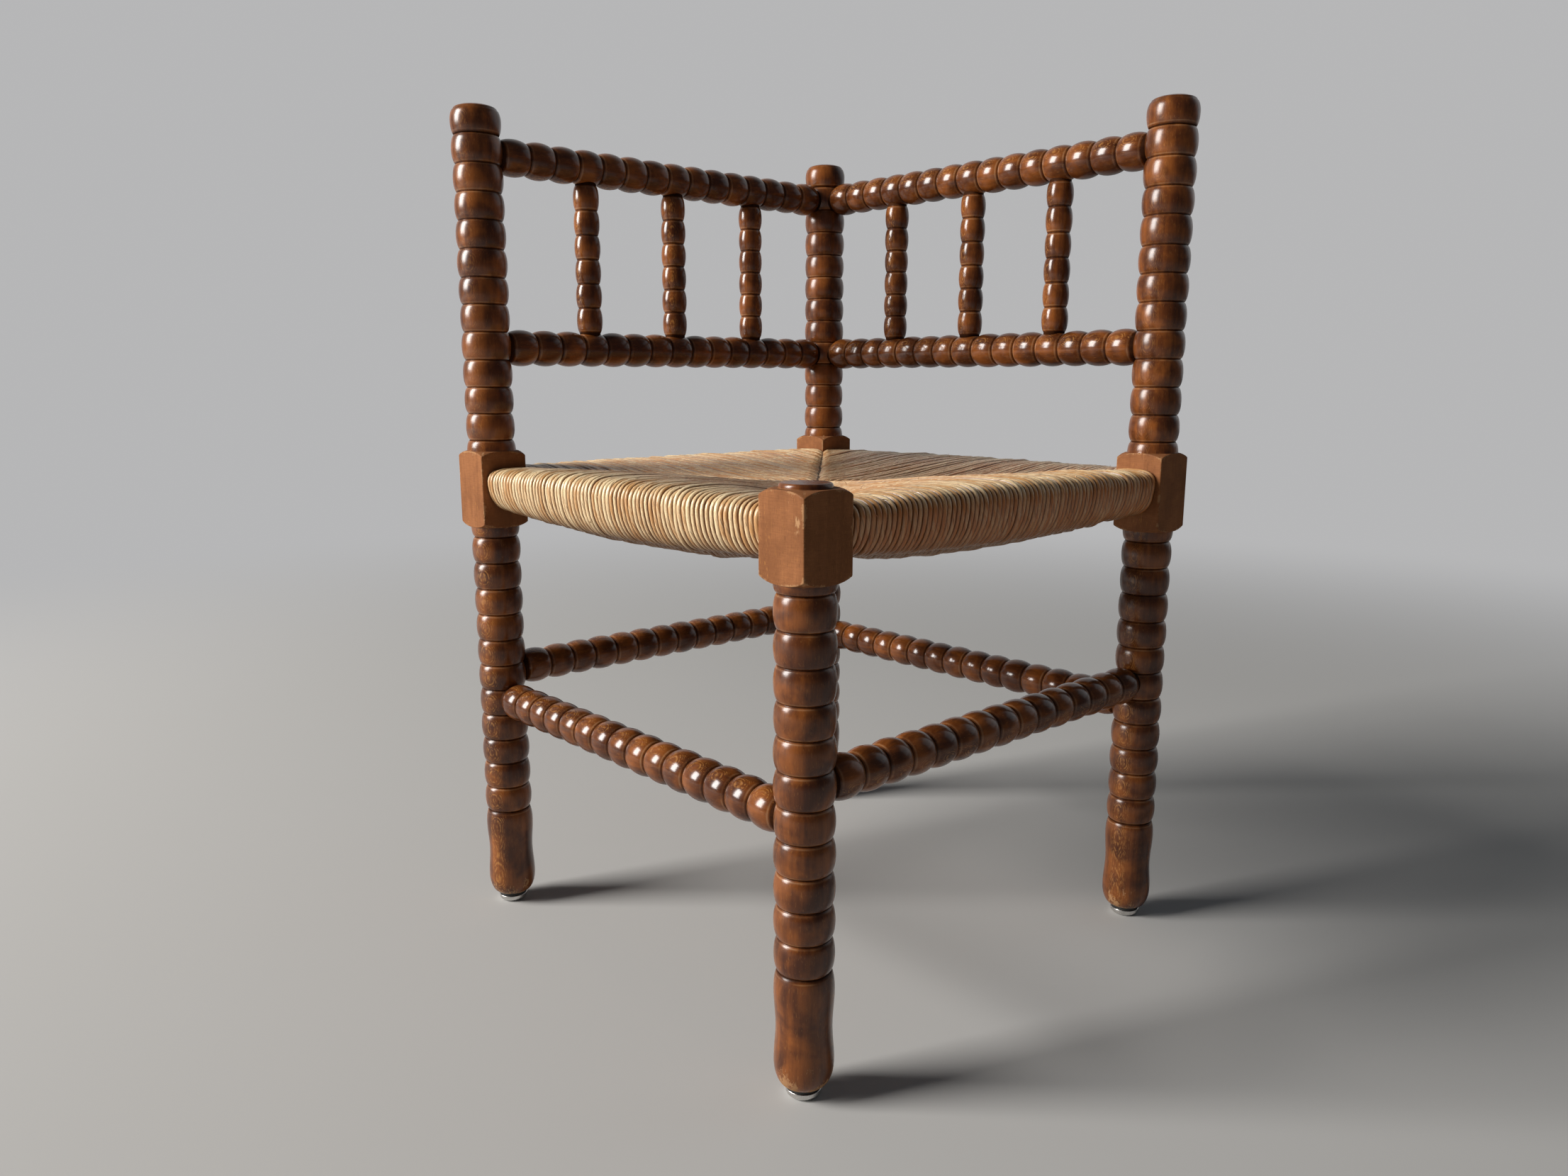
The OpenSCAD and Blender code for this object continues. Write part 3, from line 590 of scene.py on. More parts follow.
def timber_group():
    """Shader group: growth layers, streaks, flecks and turning marks, from coordinates along the log."""
    name = "Timber figure"
    if name in bpy.data.node_groups:
        return bpy.data.node_groups[name]
    g, given, end = new_group(name, "ShaderNodeTree", [
        ("Vector", "NodeSocketVector", None),
        ("Layer Spacing", "NodeSocketFloat", 0.50 * MM),
        ("Line Width", "NodeSocketFloat", 0.42),
    ], [
        ("Layers", "NodeSocketFloat"),
        ("Streaks", "NodeSocketFloat"),
        ("Flecks", "NodeSocketFloat"),
        ("Pores", "NodeSocketFloat"),
        ("Marks", "NodeSocketFloat"),
    ])
    x, y, z = g.split(given["Vector"])
    sway = g.noise(g.combine(x, y, g.times(z, 0.30)), 48.0, 1.0)
    depth = g.total(g.vector("LENGTH", g.combine(x, y, 0.0)), (sway, 2.6 * MM))
    layer = g.math("FRACT", g.math("DIVIDE", depth, given["Layer Spacing"]))
    line = g.math("ABSOLUTE", g.minus(layer, 0.5))
    breaks = g.noise(g.stretched(given["Vector"], (1.0, 1.0, 0.6)), 380.0, 2.0, 0.6)
    short = g.combine(x, y, g.times(z, 0.16))
    shifted = g.vector("ADD", short, (0.31, 0.17, 0.0))
    give_out(
        g, end,
        Layers=g.times(g.remap(line, 0.0, given["Line Width"], 1.0, 0.0), g.remap(breaks, 0.40, 0.62)),
        Streaks=g.noise(g.combine(x, y, g.times(z, 0.05)), 210.0, 3.0, 0.6),
        Flecks=g.remap(g.noise(short, 1250.0, 1.0), 0.63, 0.74),
        Pores=g.remap(g.noise(shifted, 1500.0, 1.0), 0.62, 0.72),
        Marks=g.noise(g.combine(0.0, 0.0, z), 2600.0, 2.0, 0.7))
    return g.tree


def wear_group():
    """Shader group: ragged rubbed patches where a mask of edges is high."""
    name = "Rubbed edges"
    if name in bpy.data.node_groups:
        return bpy.data.node_groups[name]
    g, given, end = new_group(name, "ShaderNodeTree", [
        ("Vector", "NodeSocketVector", None),
        ("Edge", "NodeSocketFloat", 0.0),
        ("Amount", "NodeSocketFloat", 0.5),
        ("Scale", "NodeSocketFloat", 220.0),
    ], [("Mask", "NodeSocketFloat")])
    broad = g.noise(given["Vector"], g.times(given["Scale"], 0.18), 2.0)
    fine = g.noise(given["Vector"], given["Scale"], 5.0, 0.65)
    ragged = g.total(g.times(broad, 0.55), (fine, 0.45))
    reach = g.minus(1.0, g.times(given["Amount"], given["Edge"]))
    bite = g.remap(g.minus(ragged, g.times(reach, 0.62)), 0.0, 0.07)
    give_out(g, end, Mask=g.times(bite, g.remap(given["Edge"], 0.02, 0.25)))
    return g.tree


def dust_group():
    """Shader group: soft uneven cloud for smears, dull spots and settled dust."""
    name = "Dull patches"
    if name in bpy.data.node_groups:
        return bpy.data.node_groups[name]
    g, given, end = new_group(name, "ShaderNodeTree", [
        ("Vector", "NodeSocketVector", None),
        ("Scale", "NodeSocketFloat", 30.0),
    ], [("Cloud", "NodeSocketFloat"), ("Specks", "NodeSocketFloat")])
    cloud = g.noise(given["Vector"], given["Scale"], 3.0, 0.55, 0.4)
    specks = g.noise(given["Vector"], g.times(given["Scale"], 24.0), 2.0)
    give_out(g, end, Cloud=g.remap(cloud, 0.35, 0.68), Specks=g.remap(specks, 0.66, 0.74))
    return g.tree


def new_material(name):
    """An empty material: its graph and its shader, already wired to the output."""
    material = bpy.data.materials.new(name)
    material.use_nodes = True
    material.node_tree.nodes.clear()
    g = Graph(material.node_tree)
    shader = g.node("ShaderNodeBsdfPrincipled")
    g.node("ShaderNodeOutputMaterial", {"Surface": shader.outputs[0]})
    return material, g, shader


def use_group(g, tree, inputs):
    """Outputs of a group placed in a material with these inputs."""
    return g.node("ShaderNodeGroup", inputs, node_tree=tree).outputs


def bump(g, height, distance, strength=1.0, under=None):
    """Normal of a bump, over another one where that is given."""
    inputs = {"Height": height, "Distance": distance, "Strength": strength}
    if under is not None:
        inputs["Normal"] = under
    return g.out("ShaderNodeBump", inputs)


def dress(g, shader, colour, roughness, normal):
    """Wires the three values that vary over every piece."""
    g.feed(shader.inputs["Base Color"], colour)
    g.feed(shader.inputs["Roughness"], roughness)
    g.feed(shader.inputs["Normal"], normal)


def waxed_wood(name, sheen):
    """Stained and waxed wood of the turned parts; sheen is the roughness of its wax."""
    if name in bpy.data.materials:
        return bpy.data.materials[name]
    s = bpy.context.scene.chair_turning
    material, g, shader = new_material(name)
    timber = attribute(g, "timber", "Vector")
    crest = attribute(g, "crest")
    squared = attribute(g, "squared")
    figure = attribute(g, "figure")
    round_only = g.minus(1.0, squared)
    grain = use_group(g, timber_group(), {"Vector": timber})
    cloud = use_group(g, dust_group(), {"Vector": timber, "Scale": 34.0})
    rubbed = use_group(g, wear_group(), {
        "Vector": timber, "Edge": attribute(g, "edge"), "Amount": 0.22, "Scale": 520.0})
    scuffed = use_group(g, wear_group(), {
        "Vector": g.stretched(timber, (1.0, 1.0, 0.45)),
        "Edge": attribute(g, "scuff"), "Amount": 0.24, "Scale": 620.0})

    # Stain: streaky on turned wood, crossed by saw marks on the blocks
    tone = g.total(g.times(grain["Streaks"], 0.55), (cloud["Cloud"], 0.30))
    turned = g.mix(g.remap(tone, 0.15, 0.80), tuple(s.stain), tuple(s.warm))
    rows = g.noise(g.stretched(timber, (0.08, 0.08, 1.0)), 1500.0, 2.0)
    cut = g.total(g.times(tone, 0.75), (rows, 0.30))
    dark_block = g.mix(0.45, tuple(s.block), tuple(s.stain))
    base = g.mix(squared, turned, g.mix(g.remap(cut, 0.28, 0.78), dark_block, tuple(s.block)))

    # Growth layers, flecks, pores, painted highlights on the rims beside the grooves, dark wax and painted
    # shade in the grooves, wear
    golden = g.times(grain["Layers"], g.times(figure, 0.45))
    golden = g.times(g.times(golden, g.remap(crest, 0.62, 0.86)), round_only)
    flecks = g.times(grain["Flecks"], g.plus(0.14, g.times(figure, 0.25)))
    base = g.mix(g.math("MAXIMUM", golden, flecks), base, tuple(s.figure))
    base = g.tinted(base, grain["Pores"], 0.20, OPEN_PORES)
    groove = g.minus(1.0, g.remap(crest, 0.0, 0.34))
    # Painted highlight: a pale line in the bare wood's tone along the rim of each ring beside a groove
    rim = g.times(g.remap(crest, 0.30, 0.38), g.remap(crest, 0.56, 0.42))
    base = g.mix(g.times(rim, g.remap(cloud["Cloud"], 0.0, 1.0, 0.05, 0.34)), base, tuple(s.bare_and_rim_highlight))
    # Dark wax and painted shade in the grooves
    base = g.tinted(base, groove, 0.80, GROOVE_WAX_AND_SHADE)
    base = g.tinted(base, rubbed["Mask"], 0.45, tuple(s.bare_and_rim_highlight))
    base = g.tinted(base, scuffed["Mask"], 0.65, tuple(s.bare_and_rim_highlight))
    base = g.tinted(base, cloud["Specks"], 0.22, GRIME)

    worn = g.math("MAXIMUM", rubbed["Mask"], scuffed["Mask"])
    rough = g.total(0.33, (cloud["Cloud"], 0.10), (squared, 0.20), (worn, 0.20), (groove, 0.25))
    height = g.total(g.times(grain["Streaks"], 0.6), (g.times(grain["Marks"], round_only), 0.5))
    fine = bump(g, g.minus(height, grain["Pores"]), 0.05 * MM, 0.55)
    dress(g, shader, base, rough, bump(g, g.times(worn, -1.0), 0.12 * MM, 0.6, fine))
    shader.inputs["Specular IOR Level"].default_value = 0.05
    shader.inputs["Coat Roughness"].default_value = sheen
    coat = g.times(g.minus(1.0, worn), g.remap(squared, 0.0, 1.0, 0.82, 0.03))
    g.feed(shader.inputs["Coat Weight"], g.times(coat, g.minus(1.0, groove)))
    return material


def rail_wood():
    """Plain unfinished wood of the rails inside the rush."""
    if "rail_wood" in bpy.data.materials:
        return bpy.data.materials["rail_wood"]
    material, g, shader = new_material("rail_wood")
    place = object_place(g)
    turn = g.out("ShaderNodeMapping", {"Vector": place, "Rotation": (0.0, math.pi / 2, math.pi / 4)})
    grain = use_group(g, timber_group(), {"Vector": turn, "Layer Spacing": 2.4 * MM, "Line Width": 0.3})
    cloud = use_group(g, dust_group(), {"Vector": place, "Scale": 30.0})
    base = g.mix(g.remap(grain["Streaks"], 0.3, 0.7), BARE_WOOD_DARK, BARE_WOOD_PALE)
    base = g.tinted(base, grain["Layers"], 0.45, LATE_WOOD)
    base = g.tinted(base, cloud["Cloud"], 0.25, HANDLED_WOOD)
    height = g.minus(g.times(grain["Streaks"], 0.6), grain["Pores"])
    rough = g.remap(grain["Streaks"], 0.0, 1.0, 0.62, 0.8)
    dress(g, shader, base, rough, bump(g, height, 0.15 * MM, 0.6))
    return material


def leaf_group():
    """Shader group: fibres, leaf edges, blotches, nicks and painted glints of highlight along a twisted
    strand of rush.
    """
    name = "Rush leaf"
    if name in bpy.data.node_groups:
        return bpy.data.node_groups[name]
    g, given, end = new_group(name, "ShaderNodeTree", [
        ("Fibre", "NodeSocketVector", None),
        ("Strand", "NodeSocketFloat", 0.0),
    ], [
        ("Fibres", "NodeSocketFloat"),
        ("Leaves", "NodeSocketFloat"),
        ("Blotches", "NodeSocketFloat"),
        ("Nicks", "NodeSocketFloat"),
        ("Glints", "NodeSocketFloat"),
    ])
    along, across, upward = g.split(given["Fibre"])
    shift = g.times(given["Strand"], 91.0)
    thread = g.combine(g.plus(g.times(along, 5.0), shift), across, upward)
    spread = g.combine(g.plus(g.times(along, 30.0), shift), g.times(across, 0.35), upward)
    edge = g.remap(g.math("ABSOLUTE", upward), 0.02, 0.20, 1.0, 0.0)
    short = g.combine(g.plus(g.times(along, 75.0), g.times(shift, 3.0)), across, 0.0)
    scraps = g.combine(g.plus(g.times(along, 62.0), g.times(shift, 7.0)), across, upward)
    give_out(
        g, end,
        Fibres=g.noise(thread, 5.5, 2.0, 0.6),
        Leaves=g.remap(g.noise(thread, 1.5, 1.0), 0.38, 0.62),
        Blotches=g.remap(g.noise(spread, 1.2, 3.0, 0.55), 0.32, 0.68),
        Nicks=g.times(edge, g.remap(g.noise(short, 1.0, 1.0), 0.50, 0.60)),
        Glints=g.remap(g.noise(scraps, 1.3, 2.0, 0.6), 0.54, 0.62))
    return g.tree


def rush_leaf():
    """Glossy straw of the strands, each with a tone of its own."""
    if "rush_leaf" in bpy.data.materials:
        return bpy.data.materials["rush_leaf"]
    s = bpy.context.scene.chair_rush
    material, g, shader = new_material("rush_leaf")
    strand = attribute(g, "strand")
    level = attribute(g, "level")
    leaf = use_group(g, leaf_group(), {"Fibre": attribute(g, "fibre", "Vector"), "Strand": strand})
    tone = g.total(g.times(strand, 0.50), (leaf["Blotches"], 0.32), (leaf["Leaves"], 0.18))
    base = g.mix(g.remap(tone, 0.10, 0.80), tuple(s.brown), tuple(s.pale))
    base = g.tinted(base, level, 0.42, SEAT_STRAW)
    # Painted highlight: short pale glints on the level top of the seat
    base = g.mix(g.times(level, g.times(leaf["Glints"], 0.80)), base, tuple(s.pale))
    # Darker brown over the outside of the roll, strongest on the front-right field
    darker_roll = g.times(attribute(g, "darker_roll"), g.remap(leaf["Blotches"], 0.0, 1.0, 1.0, 0.7))
    base = g.mix(darker_roll, base, DARK_ROLL_STRAW)
    # Painted shade down the sides of each strand, in the gaps between the strands
    base = g.tinted(base, g.remap(attribute(g, "ridge"), 0.90, 0.28), 0.92, GAP_SHADE_STRAW)
    base = g.mix(g.remap(leaf["Fibres"], 0.60, 0.38, 0.0, 0.30), base, FIBRE_STRAW)
    base = g.tinted(base, leaf["Nicks"], 0.62, TORN_STRAW)
    # Painted shade on the strands under the roll
    base = g.tinted(base, attribute(g, "under"), 0.90, UNDER_SHADE_STRAW)
    height = g.total(g.times(leaf["Fibres"], 0.5), (leaf["Leaves"], 0.5))
    height = g.minus(height, leaf["Nicks"])
    rough = g.remap(leaf["Blotches"], 0.0, 1.0, 0.38, 0.27)
    dress(g, shader, base, rough, bump(g, height, 0.22 * MM, 0.6))
    shader.inputs["Specular IOR Level"].default_value = 0.45
    shader.inputs["Coat Weight"].default_value = 0.35
    shader.inputs["Coat Roughness"].default_value = 0.32
    return material


def straw_packing():
    """Loose dull straw of the stuffing and of the dark body between the strands."""
    if "straw_packing" in bpy.data.materials:
        return bpy.data.materials["straw_packing"]
    material, g, shader = new_material("straw_packing")
    place = object_place(g)
    cloud = use_group(g, dust_group(), {"Vector": place, "Scale": 45.0})
    lengthways = g.noise(g.stretched(place, (1.0, 0.08, 1.0)), 700.0, 3.0)
    crossways = g.noise(g.stretched(place, (0.08, 1.0, 1.0)), 700.0, 3.0)
    straws = g.math("MAXIMUM", lengthways, crossways)
    base = g.mix(g.remap(straws, 0.45, 0.68), PACKING_DARK, PACKING_PALE)
    base = g.tinted(base, cloud["Cloud"], 0.35, PACKING_DUST)
    dress(g, shader, base, g.remap(straws, 0.4, 0.7, 0.9, 0.65), bump(g, straws, 0.6 * MM, 0.8))
    return material


def plated_cup():
    """Bright plated metal of the glides' cups, a little dulled and scratched."""
    if "plated_cup" in bpy.data.materials:
        return bpy.data.materials["plated_cup"]
    s = bpy.context.scene.chair_glides
    material, g, shader = new_material("plated_cup")
    place = object_place(g)
    cloud = use_group(g, dust_group(), {"Vector": place, "Scale": 160.0})
    scratch = g.noise(g.stretched(place, (1.0, 1.0, 6.0)), 900.0, 4.0, 0.7)
    base = g.tinted(tuple(s.metal), cloud["Cloud"], 0.4, DULLED_METAL)
    base = g.tinted(base, cloud["Specks"], 0.5, METAL_SPECKS)
    rough = g.total(g.remap(scratch, 0.35, 0.7, 0.16, 0.32), (cloud["Cloud"], 0.10))
    dress(g, shader, base, rough, bump(g, scratch, 0.05 * MM, 0.35))
    shader.inputs["Metallic"].default_value = 1.0
    return material


def black_rubber():
    """Black rubber that sits between a cup and the foot."""
    if "black_rubber" in bpy.data.materials:
        return bpy.data.materials["black_rubber"]
    material, g, shader = new_material("black_rubber")
    cloud = use_group(g, dust_group(), {"Vector": object_place(g), "Scale": 120.0})
    base = g.tinted(RUBBER, cloud["Cloud"], 0.5, RUBBER_BLOOM)
    base = g.tinted(base, cloud["Specks"], 0.5, RUBBER_DUST)
    rough = g.remap(cloud["Cloud"], 0.0, 1.0, 0.45, 0.7)
    dress(g, shader, base, rough, bump(g, cloud["Specks"], 0.1 * MM, 0.4))
    return material


def drawn_steel():
    """Drawn steel of the nails."""
    if "drawn_steel" in bpy.data.materials:
        return bpy.data.materials["drawn_steel"]
    material, g, shader = new_material("drawn_steel")
    place = object_place(g)
    drawn = g.noise(g.stretched(place, (1.0, 1.0, 0.05)), 2200.0, 3.0)
    cloud = use_group(g, dust_group(), {"Vector": place, "Scale": 200.0})
    base = g.mix(cloud["Cloud"], STEEL, STEEL_DULL)
    dress(g, shader, base, g.remap(drawn, 0.3, 0.7, 0.28, 0.5), bump(g, drawn, 0.03 * MM, 0.5))
    shader.inputs["Metallic"].default_value = 1.0
    return material


# Shapes

MASKS = ("crest", "edge", "squared", "scuff")


class Shape:
    """Points, faces and masks of a piece while it is being made."""

    def __init__(self, points, faces, **masks):
        self.points = np.array(points, float).reshape(-1, 3)
        self.faces = [tuple(face) for face in faces]
        self.masks = {}
        for name in MASKS:
            value = masks.get(name, 0.0)
            self.masks[name] = np.broadcast_to(np.array(value, float), (len(self.points),)).copy()

    def moved(self, matrix):
        turn = np.array(matrix.to_3x3())
        self.points = self.points @ turn.T + np.array(matrix.translation)
        return self


def joined(shapes):
    """One shape of several."""
    points, faces, start = [], [], 0
    masks = {name: [] for name in MASKS}
    for shape in shapes:
        points.append(shape.points)
        faces += [tuple(i + start for i in face) for face in shape.faces]
        start += len(shape.points)
        for name in MASKS:
            masks[name].append(shape.masks[name])
    made = Shape(np.concatenate(points), faces)
    made.masks = {name: np.concatenate(masks[name]) for name in MASKS}
    return made


def shape_of(mesh, **masks):
    """Shape of a mesh that a geometry tree made."""
    points = np.zeros(len(mesh.vertices) * 3)
    mesh.vertices.foreach_get("co", points)
    made = Shape(points, [tuple(p.vertices) for p in mesh.polygons], **masks)
    for name in MASKS:
        if name in mesh.attributes:
            values = np.zeros(len(mesh.vertices))
            mesh.attributes[name].data.foreach_get("value", values)
            made.masks[name] = values
    bpy.data.meshes.remove(mesh)
    return made


def held(value):
    """The value, held between 0 and 1."""
    return min(1.0, max(0.0, value))


def ring_points(radius, z, segments):
    """Points of one turned ring, anticlockwise as seen from above."""
    return [
        (radius * math.cos(2 * math.pi * k / segments), radius * math.sin(2 * math.pi * k / segments), z)
        for k in range(segments)
    ]


def grid_faces(rows, columns, start=0, closed=False):
    """Faces between rows of points that stand in columns. A closed grid also joins the last
    column to the first."""
    return [
        (start + r * columns + c, start + r * columns + (c + 1) % columns,
         start + (r + 1) * columns + (c + 1) % columns, start + (r + 1) * columns + c)
        for r in range(rows - 1) for c in range(columns if closed else columns - 1)
    ]


def lathe(outline, segments, close_low=False, close_high=False, **masks):
    """Turned shape from an outline of (radius, height) upwards. Masks may have a value for each point."""
    points = [p for radius, z in outline for p in ring_points(radius, z, segments)]
    faces = grid_faces(len(outline), segments, closed=True)
    if close_low:
        faces.append(tuple(reversed(range(segments))))
    if close_high:
        start = (len(outline) - 1) * segments
        faces.append(tuple(range(start, start + segments)))
    spread = {
        name: np.repeat(np.array(value, float), segments) if np.ndim(value) else value
        for name, value in masks.items()
    }
    return Shape(points, faces, **spread)


def quarter(start, stop, leave_upright=True, steps=10):
    """Outline of a quarter ellipse between two points, upright where it leaves or else where it arrives."""
    made = []
    for k in range(steps + 1):
        a = math.pi / 2 * k / steps
        if leave_upright:
            made.append((
                stop[0] + (start[0] - stop[0]) * math.cos(a),
                start[1] + (stop[1] - start[1]) * math.sin(a)))
        else:
            made.append((
                start[0] + (stop[0] - start[0]) * math.sin(a),
                stop[1] + (start[1] - stop[1]) * math.cos(a)))
    return made


def wave(start, stop, steps=10):
    """Outline of a wave between two points, upright at both."""
    return [
        (start[0] + (stop[0] - start[0]) * (1 - math.cos(math.pi * k / steps)) / 2,
         start[1] + (stop[1] - start[1]) * k / steps)
        for k in range(1, steps + 1)
    ]


def without_repeats(outline):
    """The outline without points that fall on the one before."""
    made = [outline[0]]
    for point in outline[1:]:
        if math.dist(point, made[-1]) > 1e-7:
            made.append(point)
    return made


def bobbins(count, pitch, ring_r, groove_r, fullness, segments, seed, base_z, material):
    """Row of bobbins from the geometry tree, its first groove at base_z."""
    s = bpy.context.scene.chair_turning
    mesh = grown_mesh(bobbin_row_tree(), {
        "Bobbins": count, "Pitch": pitch, "Bobbin Radius": ring_r, "Groove Radius": groove_r,
        "Steps": s.ring_steps, "Segments": segments, "Fullness": fullness, "Irregularity": s.irregularity,
        "Seed": seed, "Material": material})
    return shape_of(mesh).moved(Matrix.Translation((0, 0, base_z)))


def closed_mesh(mesh, merge):
    """Merges points nearer than the distance, turns all faces outwards and shades them smooth."""
    body = bmesh.new()
    body.from_mesh(mesh)
    if merge:
        bmesh.ops.remove_doubles(body, verts=body.verts, dist=merge)
    bmesh.ops.recalc_face_normals(body, faces=body.faces)
    for face in body.faces:
        face.smooth = True
    body.to_mesh(mesh)
    body.free()


def linked_object(name, mesh):
    """Object of a mesh, both under one name, put into the scene."""
    mesh.name = name
    made = bpy.data.objects.new(name, mesh)
    bpy.context.scene.collection.objects.link(made)
    return made


def plain_object(name, points, faces, material, merge=0.0):
    """Object of points and faces that need no masks."""
    mesh = bpy.data.meshes.new(name)
    mesh.from_pydata(points, [], faces)
    closed_mesh(mesh, merge)
    mesh.materials.append(material)
    return linked_object(name, mesh)


def finished_object(name, shape, matrix, material, layer_angle=0.0, seed=0, figure_top=math.inf):
    """Object of a shape, placed in its mesh, with coordinates along its log.
    The growth layers show most where they run level with the surface, and less above figure_top."""
    mesh = bpy.data.meshes.new(name)
    mesh.from_pydata([tuple(p) for p in shape.points], [], shape.faces)
    for label, values in shape.masks.items():
        mesh.attributes.new(label, "FLOAT", "POINT").data.foreach_set("value", values)
    dice = random.Random(seed)
    log = Matrix.Rotation(layer_angle, 3, "Z")
    timber = shape.points @ np.array(log).T
    flat = np.abs(timber[:, 0]) / np.maximum(np.hypot(timber[:, 0], timber[:, 1]), 1e-6)
    upper = np.where(shape.points[:, 2] < figure_top, 1.0, UPPER_FIGURE)
    figure = np.clip((flat - FIGURE_FROM) / FIGURE_FADE, 0, 1) * upper
    mesh.attributes.new("figure", "FLOAT", "POINT").data.foreach_set("value", figure)
    timber += np.array([dice.uniform(*HEART_DISTANCE), dice.uniform(-0.006, 0.006), dice.uniform(0, 3)])
    mesh.attributes.new("timber", "FLOAT_VECTOR", "POINT").data.foreach_set("vector", timber.ravel())
    mesh.transform(matrix)
    closed_mesh(mesh, 2e-6)
    mesh.materials.append(material)
    return linked_object(name, mesh)


def stands_for(piece, slot, *nodes):
    """The piece rides on the chair and takes the place of these solids."""
    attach(piece, "root")
    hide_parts(*nodes)


def middle_of(node):
    """Middle of a solid's box."""
    low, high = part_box(node)
    return (low + high) / 2


# Posts

BLOCK_Z = SOLE_Z + FOOT_H + LEG_RINGS * LEG_PITCH + NECK_H + SHOULDER_H + BLOCK_EDGE_H / 2
BACK_FOOT = BLOCK_Z + BLOCK_EDGE_H / 2 + SHOULDER_H + NECK_H
BACK_TOP = BACK_FOOT + BACK_RINGS * BACK_PITCH


def foot_shape(segments, top_z):
    """Rounded foot: a belly, a waist and a shoulder below the first groove."""
    belly = (POST_RING_R, SOLE_Z + FOOT_BELLY_H)
    waist = (FOOT_WAIST_R, SOLE_Z + FOOT_WAIST_H)
    shoulder = (POST_RING_R, top_z - FOOT_NECK_H)
    outline = without_repeats(
        quarter((SOLE_R, SOLE_Z), belly, False, 14)
        + wave(belly, waist)
        + wave(waist, shoulder)
        + quarter(shoulder, (POST_GROOVE_R, top_z)))
    crest = [held((top_z - z) / GROOVE_FADE) for _, z in outline]
    scuff = [held(1 - (z - SOLE_Z) / SCUFF_H) for _, z in outline]
    return lathe(outline, segments, close_low=True, crest=crest, scuff=scuff)


def shoulder_z(radius, edge_z, up):
    """Height of the block's turned shoulder at a radius: edge_z at the corners, higher or lower
    at the neck."""
    corner = BLOCK_HALF * math.sqrt(2)
    k = held((radius - POST_RING_R) / (corner - POST_RING_R))
    return edge_z + up * SHOULDER_H * (1 - k ** SHOULDER_POWER)


def block_columns():
    """Plan of the square block, anticlockwise: (x, y, how near a corner it is, from 0 to 1)."""
    flat = BLOCK_HALF - BLOCK_EDGE_R
    along = [-1.0, -0.96, -0.88, -0.7, -0.45, -0.2, 0.0, 0.2, 0.45, 0.7, 0.88, 0.96]
    plan = []
    for k in along:
        near = EDGE_WEAR if abs(k) > 0.98 else BESIDE_WEAR if abs(k) > 0.9 else 0.0
        plan.append((BLOCK_HALF, flat * k, near))
    for step in range(5):
        b = math.pi / 2 * step / 4
        plan.append((flat + BLOCK_EDGE_R * math.cos(b), flat + BLOCK_EDGE_R * math.sin(b), 1.0))
    made = []
    for quadrant in range(4):
        a = math.pi / 2 * quadrant
        made += [
            (x * math.cos(a) - y * math.sin(a), x * math.sin(a) + y * math.cos(a), near)
            for x, y, near in plan
        ]
    return made


def half_column(reach, edge_z, up, steps=7):
    """Line of (radius, height, mask of edges) from the neck over the shoulder and a little way
    along the face."""
    line = []
    for k in range(steps + 1):
        radius = POST_RING_R + (reach - POST_RING_R) * k / steps
        line.append((radius, shoulder_z(radius, edge_z, up), 0.0))
    corner = line.pop()
    before = line[-1]
    length = math.dist(before[:2], corner[:2])
    share = min(0.6, BLOCK_CREASE / max(length, 1e-6))
    start = tuple(corner[i] + (before[i] - corner[i]) * share for i in range(2))
    stop = (corner[0], corner[1] - up * BLOCK_CREASE)
    for t in (0.0, 0.33, 0.67, 1.0):
        r, z = ((1 - t) ** 2 * start[i] + 2 * t * (1 - t) * corner[i] + t * t * stop[i] for i in range(2))
        line.append((r, z, EDGE_WEAR))
    line.append((corner[0], corner[1] - up * 2.2 * BLOCK_CREASE, CREASE_WEAR))
    return [(POST_RING_R - BLOCK_NECK_INSET, line[0][1], 0.0)] + line


def block_shape(low_z, high_z):
    """Square seat block between turned shoulders, its creases and edges slightly rounded."""
    columns = block_columns()
    steps = 12
    lines = []
    for x, y, near in columns:
        reach = math.hypot(x, y)
        low = half_column(reach, low_z, -1)
        high = half_column(reach, high_z, 1)
        face_low, face_high = low[-1][1], high[-1][1]
        face = [(reach, face_low + (face_high - face_low) * k / steps, 0.0) for k in range(1, steps)]
        lines.append([
            (x / reach * r, y / reach * r, z, max(mask, near)) for r, z, mask in low + face + high[::-1]])
    count, rows = len(columns), len(lines[0])
    points = [lines[c][r][:3] for r in range(rows) for c in range(count)]
    edge = [lines[c][r][3] for r in range(rows) for c in range(count)]
    faces = grid_faces(rows, count, closed=True)
    faces.append(tuple(reversed(range(count))))
    start = (rows - 1) * count
    faces.append(tuple(range(start, start + count)))
    return Shape(points, faces, crest=1.0, squared=1.0, edge=edge)


def chip(shape, spot, reach):
    """Raises the mask of scuffs round a spot, to 0 at the reach along each axis."""
    away = np.linalg.norm((shape.points - np.array(spot)) / np.array(reach), axis=1)
    shape.masks["scuff"] = np.maximum(shape.masks["scuff"], np.clip(1.15 - away, 0, 1))


